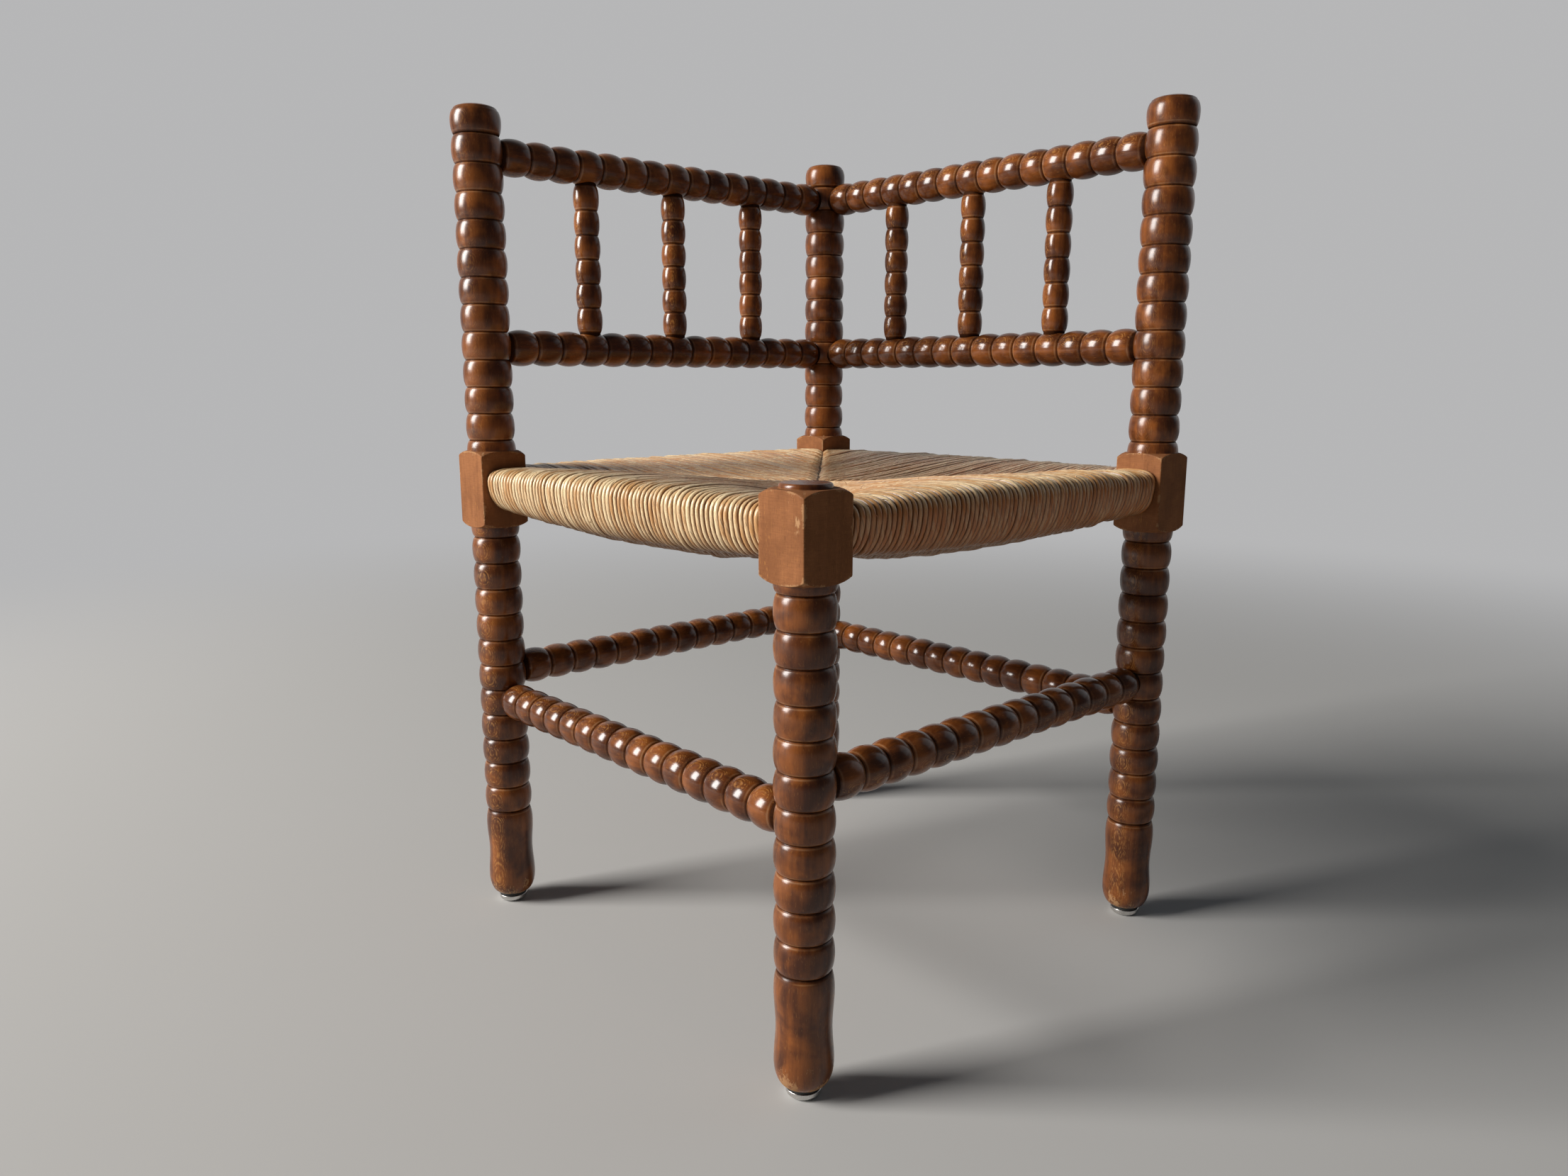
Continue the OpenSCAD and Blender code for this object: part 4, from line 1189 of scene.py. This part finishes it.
def leg_shapes(segments, seed, front, high_edge_z, material):
    """Foot, rings, half ring and block. The front leg has a longer foot and rings."""
    foot_z = SOLE_Z + FOOT_H + (FRONT_FOOT_MORE if front else 0)
    pitch = LEG_PITCH + (FRONT_PITCH_MORE if front else 0)
    low_edge_z = BLOCK_Z - BLOCK_EDGE_H / 2 + (FRONT_LOW_RISE if front else 0)
    groove_z = foot_z + LEG_RINGS * pitch
    neck_z = low_edge_z - SHOULDER_H
    neck = quarter((POST_GROOVE_R, groove_z), (POST_RING_R, neck_z), False)
    neck.append((POST_RING_R, neck_z + BURY))
    mask = [held((z - groove_z) / NECK_GROOVE_FADE) for _, z in neck]
    block = block_shape(low_edge_z, high_edge_z)
    if front:
        for across, depth, reach in FRONT_CHIPS:
            chip(block, (-BLOCK_HALF, -across, high_edge_z - depth), reach)
    dice = random.Random(seed * 3)
    for _ in range(CORNER_NICKS):
        corner = (dice.choice((-1, 1)) * BLOCK_HALF, dice.choice((-1, 1)) * BLOCK_HALF)
        z = dice.uniform(low_edge_z, high_edge_z)
        chip(block, (*corner, z), (NICK_R, NICK_R, dice.uniform(*NICK_LENGTHS) * MM))
    return [
        foot_shape(segments, foot_z),
        bobbins(
            LEG_RINGS, pitch, POST_RING_R, POST_GROOVE_R, POST_FULLNESS,
            segments, seed, foot_z, material),
        lathe(neck, segments, close_high=True, crest=mask),
        block,
    ]


def low_top_shapes(segments, high_edge_z):
    """Button on top of the front post."""
    crown = high_edge_z + SHOULDER_H
    side = (BUTTON_R, crown + BUTTON_SIDE_H)
    top_z = crown + BUTTON_H
    outline = [(BUTTON_R, crown - BURY), side]
    outline += quarter(side, (BUTTON_R - BUTTON_EDGE_R, top_z), True, 6)[1:]
    outline += [(BUTTON_R - 5 * MM, top_z), (BUTTON_FLAT_R, top_z)]
    crest = [0.2, 0.5, *[1.0] * 8]
    return [lathe(outline, segments, close_low=True, close_high=True, crest=crest)]


def tall_top_shapes(segments, seed, material):
    """Half ring, rings and cap over the block. A thin line is cut round the cap near its top."""
    crown = BLOCK_Z + BLOCK_EDGE_H / 2 + SHOULDER_H
    neck = [(POST_RING_R, crown - BURY)]
    neck += quarter((POST_RING_R, crown), (POST_GROOVE_R, BACK_FOOT))
    mask = [held((BACK_FOOT - z) / NECK_GROOVE_FADE) for _, z in neck]
    side = (POST_RING_R, BACK_TOP + CAP_SIDE_H)
    top_z = BACK_TOP + CAP_H
    cap = without_repeats(
        quarter((POST_GROOVE_R, BACK_TOP), side, False)
        + quarter(side, (CAP_FLAT_R + CAP_EDGE_W, top_z - CAP_EDGE_DROP), True, 12))
    line_z = max(z for _, z in cap if z < top_z - CAP_LINE_DROP)
    cap = [(r - CAP_LINE_DEPTH, z) if z == line_z else (r, z) for r, z in cap]
    # The low crest value gives the cut line the grooves' dark wax and painted shade
    cap_mask = [0.15 if z == line_z else held((z - BACK_TOP) / GROOVE_FADE) for _, z in cap]
    cap += [(CAP_FLAT_R + 0.7 * MM, top_z), (CAP_FLAT_R - 0.6 * MM, top_z - 0.35 * MM)]
    cap += [(CAP_DISH_R, top_z - CAP_DISH)]
    cap_mask += [1.0, 1.0, 1.0]
    rings = bobbins(
        BACK_RINGS, BACK_PITCH, POST_RING_R, POST_GROOVE_R, POST_FULLNESS,
        segments, seed + 50, BACK_FOOT, material)
    return [
        lathe(neck, segments, close_low=True, crest=mask),
        rings,
        lathe(cap, segments, close_high=True, crest=cap_mask),
    ]


class CHAIR_OT_posts(bpy.types.Operator):
    """Turn the low front post and the three tall posts"""
    bl_idname = "chair.make_posts"
    bl_label = "Make Posts"

    def execute(self, context):
        segments = context.scene.chair_turning.segments
        material = waxed_wood("waxed_posts", POST_SHEEN)
        for number, name in enumerate(POSTS):
            node = name + "_post"
            centre = middle_of(node)
            square = Matrix.Rotation(math.radians(45 + 90 * number), 4, "Z")
            place = Matrix.Translation((centre.x, centre.y, 0)) @ square
            seed = POST_SEED + number
            if name == "front":
                top = BLOCK_Z + FRONT_EDGE_H
                shapes = leg_shapes(segments, seed, True, top, material) + low_top_shapes(segments, top)
            else:
                top = BLOCK_Z + BLOCK_EDGE_H / 2
                shapes = leg_shapes(segments, seed, False, top, material)
                shapes += tall_top_shapes(segments, seed, material)
            post = finished_object(
                "turned_" + node, joined(shapes), place, material, LAYER_TURN[name], seed, BLOCK_Z)
            stands_for(post, "stained_wood", node)
        return {"FINISHED"}


# Rails, stretchers and spindles

def bar_shape(count, row, end, ring_r, groove_r, segments, seed, material):
    """Row of bobbins with a short plain end at each side that goes into what carries it."""
    pitch = 2 * row / count
    return joined([
        lathe([(groove_r, -end), (groove_r, -row)], segments, close_low=True),
        bobbins(count, pitch, ring_r, groove_r, BAR_FULLNESS, segments, seed, -row, material),
        lathe([(groove_r, row), (groove_r, end)], segments, close_high=True),
    ])


def socket_floor(ring_r, r):
    """Distance from a turned axis to the floor of the seat for a round end of radius r."""
    return math.sqrt(ring_r * ring_r - r * r) - END_SINK


def side_matrix(side, z):
    """Middle of a side at height z, with local Z along the side and local Y up."""
    start, stop = (middle_of(name + "_post") for name in SIDES[side])
    along = stop - start
    along.z = 0
    along.normalize()
    up = Vector((0, 0, 1))
    turn = Matrix((up.cross(along), up, along)).transposed().to_4x4()
    middle = (start + stop) / 2
    middle.z = z
    return Matrix.Translation(middle) @ turn


def make_bar(node, side, ring_r, groove_r, level_at, seed):
    """Back rail or stretcher on a side, at its solid's height. Its growth layers run level with the
    surface at level_at degrees from the horizontal towards the chair's middle."""
    s = bpy.context.scene.chair_turning
    material = waxed_wood("waxed_bars", BAR_SHEEN)
    row = SIDE / 2 - (POST_RING_R - END_SINK)
    end = SIDE / 2 - socket_floor(POST_RING_R, groove_r)
    shape = bar_shape(BAR_RINGS, row, end, ring_r, groove_r, s.segments * 3 // 4, seed, material)
    place = side_matrix(side, middle_of(node).z)
    angle = math.radians(random.Random(seed).uniform(-12, 12) - level_at)
    stands_for(finished_object("turned_" + node, shape, place, material, angle, seed), "stained_wood", node)


class CHAIR_OT_back_rails(bpy.types.Operator):
    """Turn the rails of the back"""
    bl_idname = "chair.make_back_rails"
    bl_label = "Make Back Rails"

    def execute(self, context):
        for number, (hand, level_at) in enumerate(RAIL_LEVEL_AT.items()):
            for step, level in enumerate(("top", "lower")):
                make_bar(
                    f"{hand}_{level}_rail", "rear_" + hand, RAIL_R, RAIL_GROOVE_R, level_at,
                    RAIL_SEED + 2 * (number + step))
        return {"FINISHED"}


class CHAIR_OT_stretchers(bpy.types.Operator):
    """Turn the stretchers between the legs"""
    bl_idname = "chair.make_stretchers"
    bl_label = "Make Stretchers"

    def execute(self, context):
        for number, side in enumerate(SIDES):
            make_bar(
                side + "_stretcher", side, STRETCHER_R, STRETCHER_GROOVE_R,
                STRETCHER_LEVEL_AT[side], STRETCHER_SEED + number)
        return {"FINISHED"}


class CHAIR_OT_spindles(bpy.types.Operator):
    """Turn the spindles between the rails of the back"""
    bl_idname = "chair.make_spindles"
    bl_label = "Make Spindles"

    def execute(self, context):
        segments = context.scene.chair_turning.segments * 5 // 8
        material = waxed_wood("waxed_bars", BAR_SHEEN)
        for number, hand in enumerate(("left", "right")):
            top = middle_of(hand + "_top_rail").z
            low = middle_of(hand + "_lower_rail").z
            row = (top - low) / 2 - (RAIL_R - END_SINK)
            end = (top - low) / 2 - socket_floor(RAIL_R, SPINDLE_GROOVE_R)
            for step, which in enumerate(("outer", "middle", "inner")):
                node = f"{hand}_{which}_spindle"
                seed = SPINDLE_SEED + number * 10 + step
                shape = bar_shape(
                    SPINDLE_RINGS, row, end, SPINDLE_R, SPINDLE_GROOVE_R, segments, seed, material)
                turn = Matrix.Rotation(random.Random(seed).uniform(0, math.pi), 4, "Z")
                place = Matrix.Translation(middle_of(node)) @ turn
                spindle = finished_object("turned_" + node, shape, place, material, 0.0, seed)
                stands_for(spindle, "stained_wood", node)
        return {"FINISHED"}


# Rush seat

def ease(k):
    """Half a cosine wave from 0 to 1."""
    return (1 - math.cos(math.pi * k)) / 2


def rush_section(x, crown, sink, flat_steps, turn_steps):
    """Section of the seat across the rail at x: (distance from the seat's middle, height) from
    seam to seam. It lies inside the seat's surface by sink."""
    seam = abs(x)
    middle = max(0.0, 1 - (x / RUSH_END) ** 2)
    seam_top = BLOCK_Z + RUSH_TOP - RUSH_DISH * middle
    seam_low = BLOCK_Z - RUSH_BOTTOM + RUSH_LIFT * middle
    crest = BLOCK_Z + RUSH_TOP + crown * middle
    trough = BLOCK_Z - RUSH_BOTTOM - RUSH_SAG * middle
    reach = SIDE / 2 + RUSH_REACH + RUSH_BELLY * middle
    turn_y = SIDE / 2 - RUSH_TURN
    line = []
    for k in range(flat_steps):
        t = k / flat_steps
        line.append((seam + (turn_y - seam) * t, seam_top + (crest - seam_top) * ease(t)))
    for k in range(turn_steps + 1):
        a = math.pi / 2 - math.pi * k / turn_steps
        out = max(0.0, math.cos(a)) ** FACE_POWER * (1 + FACE_LEAN * math.sin(a))
        up = 1 + math.copysign(abs(math.sin(a)) ** EDGE_POWER, math.sin(a))
        line.append((turn_y + (reach - turn_y) * out, trough + (crest - trough) / 2 * up))
    for k in range(1, flat_steps + 1):
        t = k / flat_steps
        line.append((
            turn_y + (seam - turn_y) * t,
            trough + (seam_low - trough) * ease(t)
            - RUSH_SWELL * math.sin(math.pi * t ** SWELL_POWER) * middle))
    points = np.array(line)
    way = np.gradient(points, axis=0)
    way /= np.linalg.norm(way, axis=1)[:, None] + 1e-12
    inwards = np.stack([way[:, 1], -way[:, 0]], 1)
    return points + inwards * sink


def crown_of(field):
    """How far the roll of a field rises in the middle of its side."""
    return FRONT_CROWN if field.startswith("front") else REAR_CROWN


def field_matrix(field):
    """Turns a field, whose y runs outwards over its rail, to its side of the chair."""
    start, stop = (middle_of(name + "_post") for name in SIDES[field])
    out = (start + stop) / 2
    out.z = 0
    out.normalize()
    along = out.cross(Vector((0, 0, 1)))
    return Matrix((along, out, Vector((0, 0, 1)))).transposed().to_4x4()


def strand_masks(y, z, brown):
    """Masks of a point of a strand: under the roll, where shade is painted; level on top; darker brown on
    the outside of the roll.
    """
    low = held((BLOCK_Z - UNDER_BELOW - z) / UNDER_BELOW_FADE)
    under = low * held((SIDE / 2 + UNDER_REACH - y) / UNDER_REACH_FADE)
    level = held((SIDE / 2 - LEVEL_INSET - y) / LEVEL_FADE)
    outside = held((y - SIDE / 2 + BROWN_INSET) / BROWN_FADE)
    darker_roll = brown * outside * held((BLOCK_Z + RUSH_TOP - BROWN_TOP_INSET - z) / BROWN_TOP_FADE)
    return under, level, darker_roll


def strand_guides(field, seed):
    """Mesh of guide lines, one for each strand of a field, with the masks of each point."""
    s = bpy.context.scene.chair_rush
    dice = random.Random(seed)
    pitch = 2 * RUSH_END / s.strands
    points, edges = [], []
    masks = {label: [] for label in ("strand", "thick", "along", "under", "level", "darker_roll")}
    waves = [(dice.uniform(9, 30), dice.uniform(0, 6.3), dice.uniform(0.3, 1.0)) for _ in range(4)]
    for number in range(s.strands):
        x = -RUSH_END + pitch * (number + 0.5)
        reach = SIDE / 2 - RUSH_TURN - abs(x)
        flat_steps = max(3, int(round(reach / (7 * MM))) + 2)
        section = rush_section(x, crown_of(field), s.height / 2, flat_steps, 16)
        tone = dice.random()
        size = dice.uniform(0.87, 1.10)
        phase = dice.uniform(0, 6.3)
        lift = dice.gauss(0, 0.42 * MM)
        length = 0.0
        start = len(points)
        last = len(section) - 1
        for k, (y, z) in enumerate(section):
            if k:
                length += math.dist((y, z), section[k - 1])
                edges.append((start + k - 1, start + k))
            share = k / last
            ends = min(1.0, 6 * min(share, 1 - share))
            wander = sum(h * math.sin(f * length + p + number * 0.11) for f, p, h in waves) / 4
            sideways = s.stray * wander
            sideways += 0.25 * s.stray * math.sin(phase + length * 70)
            outwards = 1 if z > BLOCK_Z else -1
            dip = (1 - min(1.0, min(k, last - k) / 1.5)) * SEAM_DIP
            points.append((x + sideways * ends, y, z - outwards * dip + outwards * (lift * ends)))
            thick = size * (1 + 0.05 * math.sin(phase + 110 * length) + dice.uniform(-0.02, 0.02))
            values = (tone, thick, length, *strand_masks(y, z, ROLL_DARKENING[field]))
            for label, value in zip(masks, values):
                masks[label].append(value)
    mesh = bpy.data.meshes.new("guides")
    mesh.from_pydata(points, edges, [])
    for label, values in masks.items():
        mesh.attributes.new(label, "FLOAT", "POINT").data.foreach_set("value", values)
    mesh.transform(field_matrix(field))
    return mesh


def body_of_rush():
    """Points and faces of the closed body under the strands, so that no light comes between them."""
    s = bpy.context.scene.chair_rush
    columns = 24
    flat_steps, turn_steps = 8, 12
    points, faces = [], []
    for field in SIDES:
        turn = field_matrix(field)
        start = len(points)
        for c in range(columns + 1):
            x = RUSH_END * (2 * c / columns - 1)
            for y, z in rush_section(x, crown_of(field), s.height * 0.62, flat_steps, turn_steps):
                points.append(tuple(turn @ Vector((x, y, z))))
        rows = 2 * flat_steps + turn_steps + 1
        faces += grid_faces(columns + 1, rows, start)
        faces.append(tuple(start + r for r in range(rows)))
        faces.append(tuple(start + columns * rows + r for r in reversed(range(rows))))
    return points, faces


class CHAIR_OT_rush(bpy.types.Operator):
    """Lay the strands of the four fields of the seat over their rails"""
    bl_idname = "chair.make_rush"
    bl_label = "Make Rush Seat"

    def execute(self, context):
        s = context.scene.chair_rush
        material = rush_leaf()
        pitch = 2 * RUSH_END / s.strands
        for number, field in enumerate(SIDES):
            seed = s.seed + number
            mesh = grown_mesh(rush_strand_tree(), {
                "Width": pitch * s.overlap, "Height": s.height, "Sides": STRAND_SIDES, "Lay": s.lay,
                "Splinters": s.splinters, "Splinter Length": SPLINTER_LENGTH,
                "Seed": seed, "Material": material,
            }, strand_guides(field, seed))
            stands_for(linked_object("rush_" + field, mesh), "rush", "rush_seat")
        points, faces = body_of_rush()
        body = plain_object("rush_body", points, faces, straw_packing(), 3e-5)
        stands_for(body, "rush", "rush_seat")
        return {"FINISHED"}


def stuffing_pad(field, low_z, high_z, seed):
    """Points and faces of a lumpy pad that fills one field between the two layers of rush."""
    across, deep = 28, 12
    outer = SIDE / 2 - PAD_RAIL_GAP - BLOCK_GAP
    thickness = high_z - low_z
    turn = field_matrix(field)
    dice = random.Random(seed)
    lumps = [(dice.uniform(20, 60), dice.uniform(20, 60), dice.uniform(0, 6)) for _ in range(3)]
    points = []
    for face in (1, -1):
        for v in range(deep + 1):
            y = PAD_INNER + (outer - PAD_INNER) * v / deep
            half = y - STUFFING_SEAM
            for u in range(across + 1):
                k = 2 * u / across - 1
                rim = (1 - k ** 6) * (1 - (2 * v / deep - 1) ** 6)
                swell = 0.42 + 0.05 * sum(math.sin(a * k + b * y * 9 + c) for a, b, c in lumps) / 3
                z = (high_z + low_z) / 2 + face * thickness * min(0.5, swell) * max(0.0, rim) ** 0.5
                points.append(tuple(turn @ Vector((half * k, y, z))))
    sheet = (across + 1) * (deep + 1)
    faces = grid_faces(deep + 1, across + 1) + grid_faces(deep + 1, across + 1, sheet)
    return points, faces


class CHAIR_OT_stuffing(bpy.types.Operator):
    """Pack a pad of straw into each field of the seat"""
    bl_idname = "chair.make_stuffing"
    bl_label = "Make Stuffing"

    def execute(self, context):
        for number, field in enumerate(SIDES):
            node = field + "_stuffing"
            low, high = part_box(node)
            points, faces = stuffing_pad(field, low.z, high.z, STUFFING_SEED + number)
            pad = plain_object("packed_" + node, points, faces, straw_packing(), 1e-5)
            stands_for(pad, "stuffing", node)
        return {"FINISHED"}


def given_material(node, material):
    """Puts a material on a solid of the frame that shows as it is."""
    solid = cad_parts[node]
    solid.data.materials.clear()
    solid.data.materials.append(material)


class CHAIR_OT_seat_rails(bpy.types.Operator):
    """Give the rails inside the rush their unfinished wood"""
    bl_idname = "chair.finish_seat_rails"
    bl_label = "Finish Seat Rails"

    def execute(self, context):
        for side in SIDES:
            given_material(side + "_seat_rail", rail_wood())
        return {"FINISHED"}


# Glides

def cup_outline(radius, top_z, lip):
    """Section of a glide's cup: up the outside, round the rolled lip and down the inside."""
    outside = quarter((CUP_FLAT_R, 0), (radius, CUP_BEND), False, 12)
    rolled = [
        (radius - lip + lip * math.cos(a), top_z - lip + lip * math.sin(a))
        for a in (math.pi * k / 6 for k in range(7))
    ]
    inside = quarter((CUP_FLAT_R, CUP_WALL), (radius - CUP_WALL, CUP_BEND), False, 12)[::-1]
    return without_repeats(outside + rolled + inside)


def cushion_outline(radius, low_z, high_z):
    """Section of a glide's rubber cushion, which fills the cup and has a soft upper edge."""
    edge = (radius, high_z - CUSHION_EDGE_R * 1.6)
    outline = quarter((CUP_FLAT_R - 0.2 * MM, low_z), (radius, CUP_BEND + 0.2 * MM), False, 10)
    outline.append(edge)
    return outline + quarter(edge, (radius - CUSHION_EDGE_R, high_z), True, 6)[1:]


def turned_glide_part(name, outline, centre, material):
    """Round part of a glide on its axis, closed at both ends."""
    segments = bpy.context.scene.chair_glides.segments
    shape = lathe(outline, segments, close_low=True, close_high=True)
    place = Matrix.Translation((centre.x, centre.y, 0))
    return plain_object(name, [tuple(place @ Vector(p)) for p in shape.points], shape.faces, material)


class CHAIR_OT_glides(bpy.types.Operator):
    """Press the metal cups and turn the rubber cushions of the glides"""
    bl_idname = "chair.make_glides"
    bl_label = "Make Glides"

    def execute(self, context):
        s = context.scene.chair_glides
        for name in POSTS:
            node = name + "_glide_cup"
            low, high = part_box(node)
            centre = (low + high) / 2
            outline = cup_outline((high.x - low.x) / 2, high.z, s.lip)
            cup = turned_glide_part("pressed_" + node, outline, centre, plated_cup())
            stands_for(cup, "nickel", node)

            node = name + "_glide_cushion"
            low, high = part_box(node)
            outline = cushion_outline((high.x - low.x) / 2, low.z, high.z)
            cushion = turned_glide_part("moulded_" + node, outline, centre, black_rubber())
            stands_for(cushion, "cushion_rubber", node)
            given_material(name + "_glide_nail", drawn_steel())
        return {"FINISHED"}


# Stage

def area_light(name, place, target, size, tint, power):
    """Rectangular lamp at a place, turned to its target."""
    lamp = bpy.data.lights.new(name, "AREA")
    lamp.shape = "RECTANGLE"
    lamp.size, lamp.size_y = size
    lamp.energy = power
    lamp.color = tint
    made = bpy.data.objects.new(name, lamp)
    made.location = place
    made.rotation_euler = (Vector(target) - Vector(place)).to_track_quat("-Z", "Y").to_euler()
    bpy.context.scene.collection.objects.link(made)


def set_camera(scene):
    """Camera where the photograph's camera stood."""
    camera = bpy.data.cameras.new("camera")
    camera.sensor_width = 36
    camera.lens = LENS
    camera.shift_x, camera.shift_y = LENS_SHIFT
    camera.clip_start = 0.01
    viewer = bpy.data.objects.new("camera", camera)
    viewer.location = CAMERA_PLACE
    viewer.rotation_euler = Euler([math.radians(a) for a in CAMERA_TURN])
    scene.collection.objects.link(viewer)
    scene.camera = viewer


def floor_paint(s):
    """Plain paint of the floor. Far from the chair the camera sees the background's tone instead."""
    material, g, shader = new_material("floor")
    place = object_place(g)
    cloud = use_group(g, dust_group(), {"Vector": place, "Scale": 5.0})
    base = g.tinted(tuple(s.floor), cloud["Cloud"], 0.10, FLOOR_DUST)
    g.feed(shader.inputs["Base Color"], base)
    shader.inputs["Roughness"].default_value = 0.85
    shader.inputs["Specular IOR Level"].default_value = 0.2
    far = g.remap(g.vector("LENGTH", place), 0.9, 3.0)
    seen = g.times(far, g.node("ShaderNodeLightPath").outputs["Is Camera Ray"])
    glow = g.out("ShaderNodeEmission", {"Color": tuple(s.backdrop), "Strength": 1.0})
    blend = g.out("ShaderNodeMixShader", {0: seen, 1: shader.outputs[0], 2: glow})
    output = next(n for n in material.node_tree.nodes if n.type == "OUTPUT_MATERIAL")
    g.feed(output.inputs["Surface"], blend)
    return material


def lay_floor(s, rings=24, segments=96):
    """Round floor whose rings of faces grow wider outwards."""
    points = [(0.0, 0.0, 0.0)]
    for r in range(1, rings + 1):
        points += ring_points(s.floor_radius * (r / rings) ** 2, 0.0, segments)
    faces = [(0, 1 + k, 1 + (k + 1) % segments) for k in range(segments)]
    faces += grid_faces(rings, segments, 1, closed=True)
    plain_object("floor", points, faces, floor_paint(s))


def set_surround(scene, s):
    """World: weak bluish light all round. The camera sees the background's tone instead, also
    through a piece and in what a piece mirrors from behind the chair."""
    world = bpy.data.worlds.new("surround")
    world.use_nodes = True
    world.node_tree.nodes.clear()
    g = Graph(world.node_tree)
    path = g.node("ShaderNodeLightPath").outputs
    way = g.split(g.node("ShaderNodeTexCoord").outputs["Generated"])
    behind = g.remap(way[1], 0.1, 0.7)
    shown = g.math("MAXIMUM", path["Is Camera Ray"], path["Is Transmission Ray"])
    shown = g.math("MAXIMUM", shown, g.times(path["Is Glossy Ray"], behind))
    light = g.out("ShaderNodeBackground", {"Color": SKY_TINT, "Strength": s.sky})
    back = g.out("ShaderNodeBackground", {"Color": tuple(s.backdrop), "Strength": 1.0})
    both = g.out("ShaderNodeMixShader", {0: shown, 1: light, 2: back})
    g.node("ShaderNodeOutputWorld", {"Surface": both})
    scene.world = world


class CHAIR_OT_stage(bpy.types.Operator):
    """Set the floor, the background, the light and the camera"""
    bl_idname = "chair.make_stage"
    bl_label = "Make Stage"

    def execute(self, context):
        scene = context.scene
        s = scene.chair_stage
        scene.view_settings.view_transform = "Standard"
        set_camera(scene)
        lay_floor(s)
        set_surround(scene, s)
        area_light("key", *KEY_LAMP, s.key)
        area_light("fill", *FILL_LAMP, s.fill)
        return {"FINISHED"}


# Panel and registration

STEPS = (
    CHAIR_OT_stage,
    CHAIR_OT_posts,
    CHAIR_OT_back_rails,
    CHAIR_OT_spindles,
    CHAIR_OT_stretchers,
    CHAIR_OT_seat_rails,
    CHAIR_OT_stuffing,
    CHAIR_OT_rush,
    CHAIR_OT_glides,
)
SETTINGS = {
    "chair_turning": TurningSettings,
    "chair_rush": RushSettings,
    "chair_glides": GlideSettings,
    "chair_stage": StageSettings,
}


class CHAIR_PT_workshop(bpy.types.Panel):
    """Steps and settings of the chair"""
    bl_idname = "CHAIR_PT_workshop"
    bl_label = "Corner Chair"
    bl_space_type = "VIEW_3D"
    bl_region_type = "UI"
    bl_category = "Chair"

    def draw(self, context):
        for step in STEPS:
            self.layout.operator(step.bl_idname)
        for name in SETTINGS:
            group = getattr(context.scene, name)
            box = self.layout.box()
            for label in group.__annotations__:
                box.prop(group, label)


def register():
    for name, group in SETTINGS.items():
        bpy.utils.register_class(group)
        setattr(bpy.types.Scene, name, PointerProperty(type=group))
    for step in STEPS:
        bpy.utils.register_class(step)
    bpy.utils.register_class(CHAIR_PT_workshop)


def unregister():
    bpy.utils.unregister_class(CHAIR_PT_workshop)
    for step in reversed(STEPS):
        bpy.utils.unregister_class(step)
    for name, group in reversed(SETTINGS.items()):
        delattr(bpy.types.Scene, name)
        bpy.utils.unregister_class(group)


def main():
    register()
    for step in STEPS:
        family, action = step.bl_idname.split(".")
        getattr(getattr(bpy.ops, family), action)()


if __name__ == "__main__":
    main()
